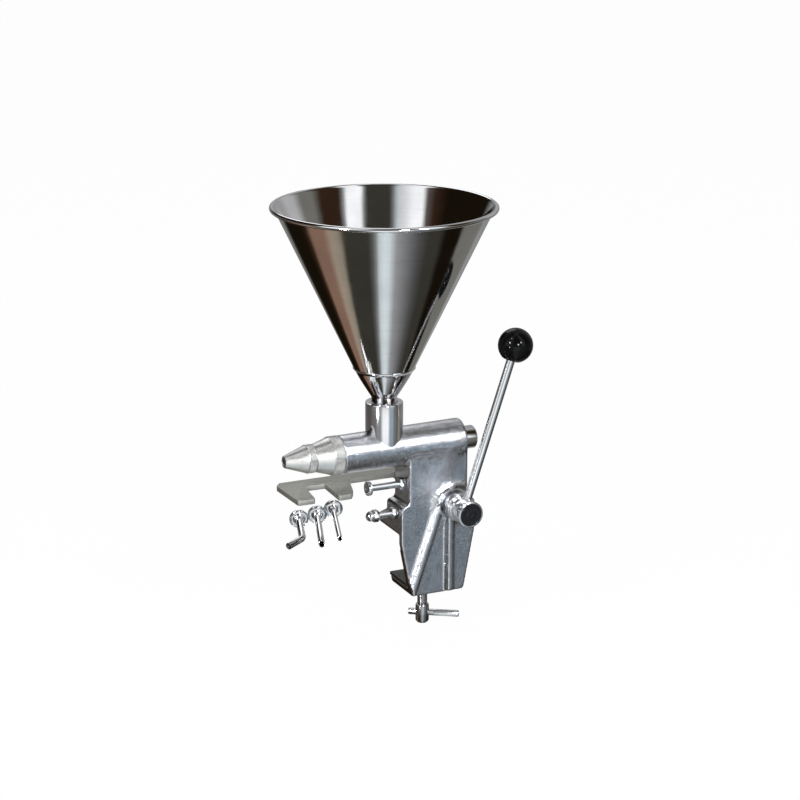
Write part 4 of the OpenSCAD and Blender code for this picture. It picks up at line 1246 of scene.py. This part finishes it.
class FILLER_OT_nozzles(bpy.types.Operator):
    """Models the three loose nozzles"""

    bl_idname = "filler.nozzles"
    bl_label = "Loose nozzles"

    def execute(self, context):
        use = finishes()
        for node, body in (("bent_nozzle", "bent_tube"), ("wide_nozzle", "wide_tube"), ("narrow_nozzle", "narrow_tube")):
            piece = trimmed_copy(node, node + "_finished", 0.12 * MM)
            flat = max(piece.data.polygons, key=lambda face: face.area)
            middle_of, way = flat.center.copy(), flat.normal.copy()
            tip = max(piece.data.vertices, key=lambda corner: (corner.co - middle_of).length)
            if (tip.co - middle_of).dot(way) < 0:
                way.negate()
            start = min(corner.co.dot(way) for corner in piece.data.vertices)
            open_mesh(piece, "FACE")
            pick(piece, "FACE", lambda face: face.normal.dot(way) > 0.995 and (
                1.5 * MM < face.calc_center_median().dot(way) - start < 3 * MM
            ))
            bpy.ops.mesh.inset(thickness=1.1 * MM, depth=-0.8 * MM)
            bpy.ops.object.mode_set(mode="OBJECT")
            done(piece, use["nozzle"], "chromed_steel", body, node, smooth=38)
        return {"FINISHED"}


class FILLER_PT_panel(bpy.types.Panel):
    """Lists the machine's pieces and sizes"""

    bl_idname = "FILLER_PT_panel"
    bl_label = "Pastry filling machine"
    bl_space_type = "VIEW_3D"
    bl_region_type = "UI"
    bl_category = "Filler"

    def draw(self, context):
        for operator in OPERATORS:
            self.layout.operator(operator.bl_idname)
        for name in GROUPS:
            group = getattr(context.scene, name)
            box = self.layout.box()
            for key in group.bl_rna.properties.keys():
                if key not in ("rna_type", "name"):
                    box.prop(group, key)


OPERATORS = (
    FILLER_OT_stage,
    FILLER_OT_casting,
    FILLER_OT_neck,
    FILLER_OT_hopper,
    FILLER_OT_nose,
    FILLER_OT_fork,
    FILLER_OT_stops,
    FILLER_OT_drive,
    FILLER_OT_lever,
    FILLER_OT_clamp,
    FILLER_OT_nozzles,
)


def register():
    for group in GROUPS.values():
        bpy.utils.register_class(group)
    for name, group in GROUPS.items():
        setattr(bpy.types.Scene, name, PointerProperty(type=group))
    for operator in OPERATORS:
        bpy.utils.register_class(operator)
    bpy.utils.register_class(FILLER_PT_panel)


def unregister():
    bpy.utils.unregister_class(FILLER_PT_panel)
    for operator in reversed(OPERATORS):
        bpy.utils.unregister_class(operator)
    for name in GROUPS:
        delattr(bpy.types.Scene, name)
    for group in GROUPS.values():
        bpy.utils.unregister_class(group)


def main():
    register()
    bpy.context.scene.view_settings.view_transform = "Standard"
    bpy.ops.filler.stage()
    bpy.ops.filler.casting()
    bpy.ops.filler.neck()
    bpy.ops.filler.hopper()
    bpy.ops.filler.nose()
    bpy.ops.filler.fork()
    bpy.ops.filler.stops()
    bpy.ops.filler.drive()
    bpy.ops.filler.lever()
    bpy.ops.filler.clamp()
    bpy.ops.filler.nozzles()


if __name__ == "__main__":
    main()
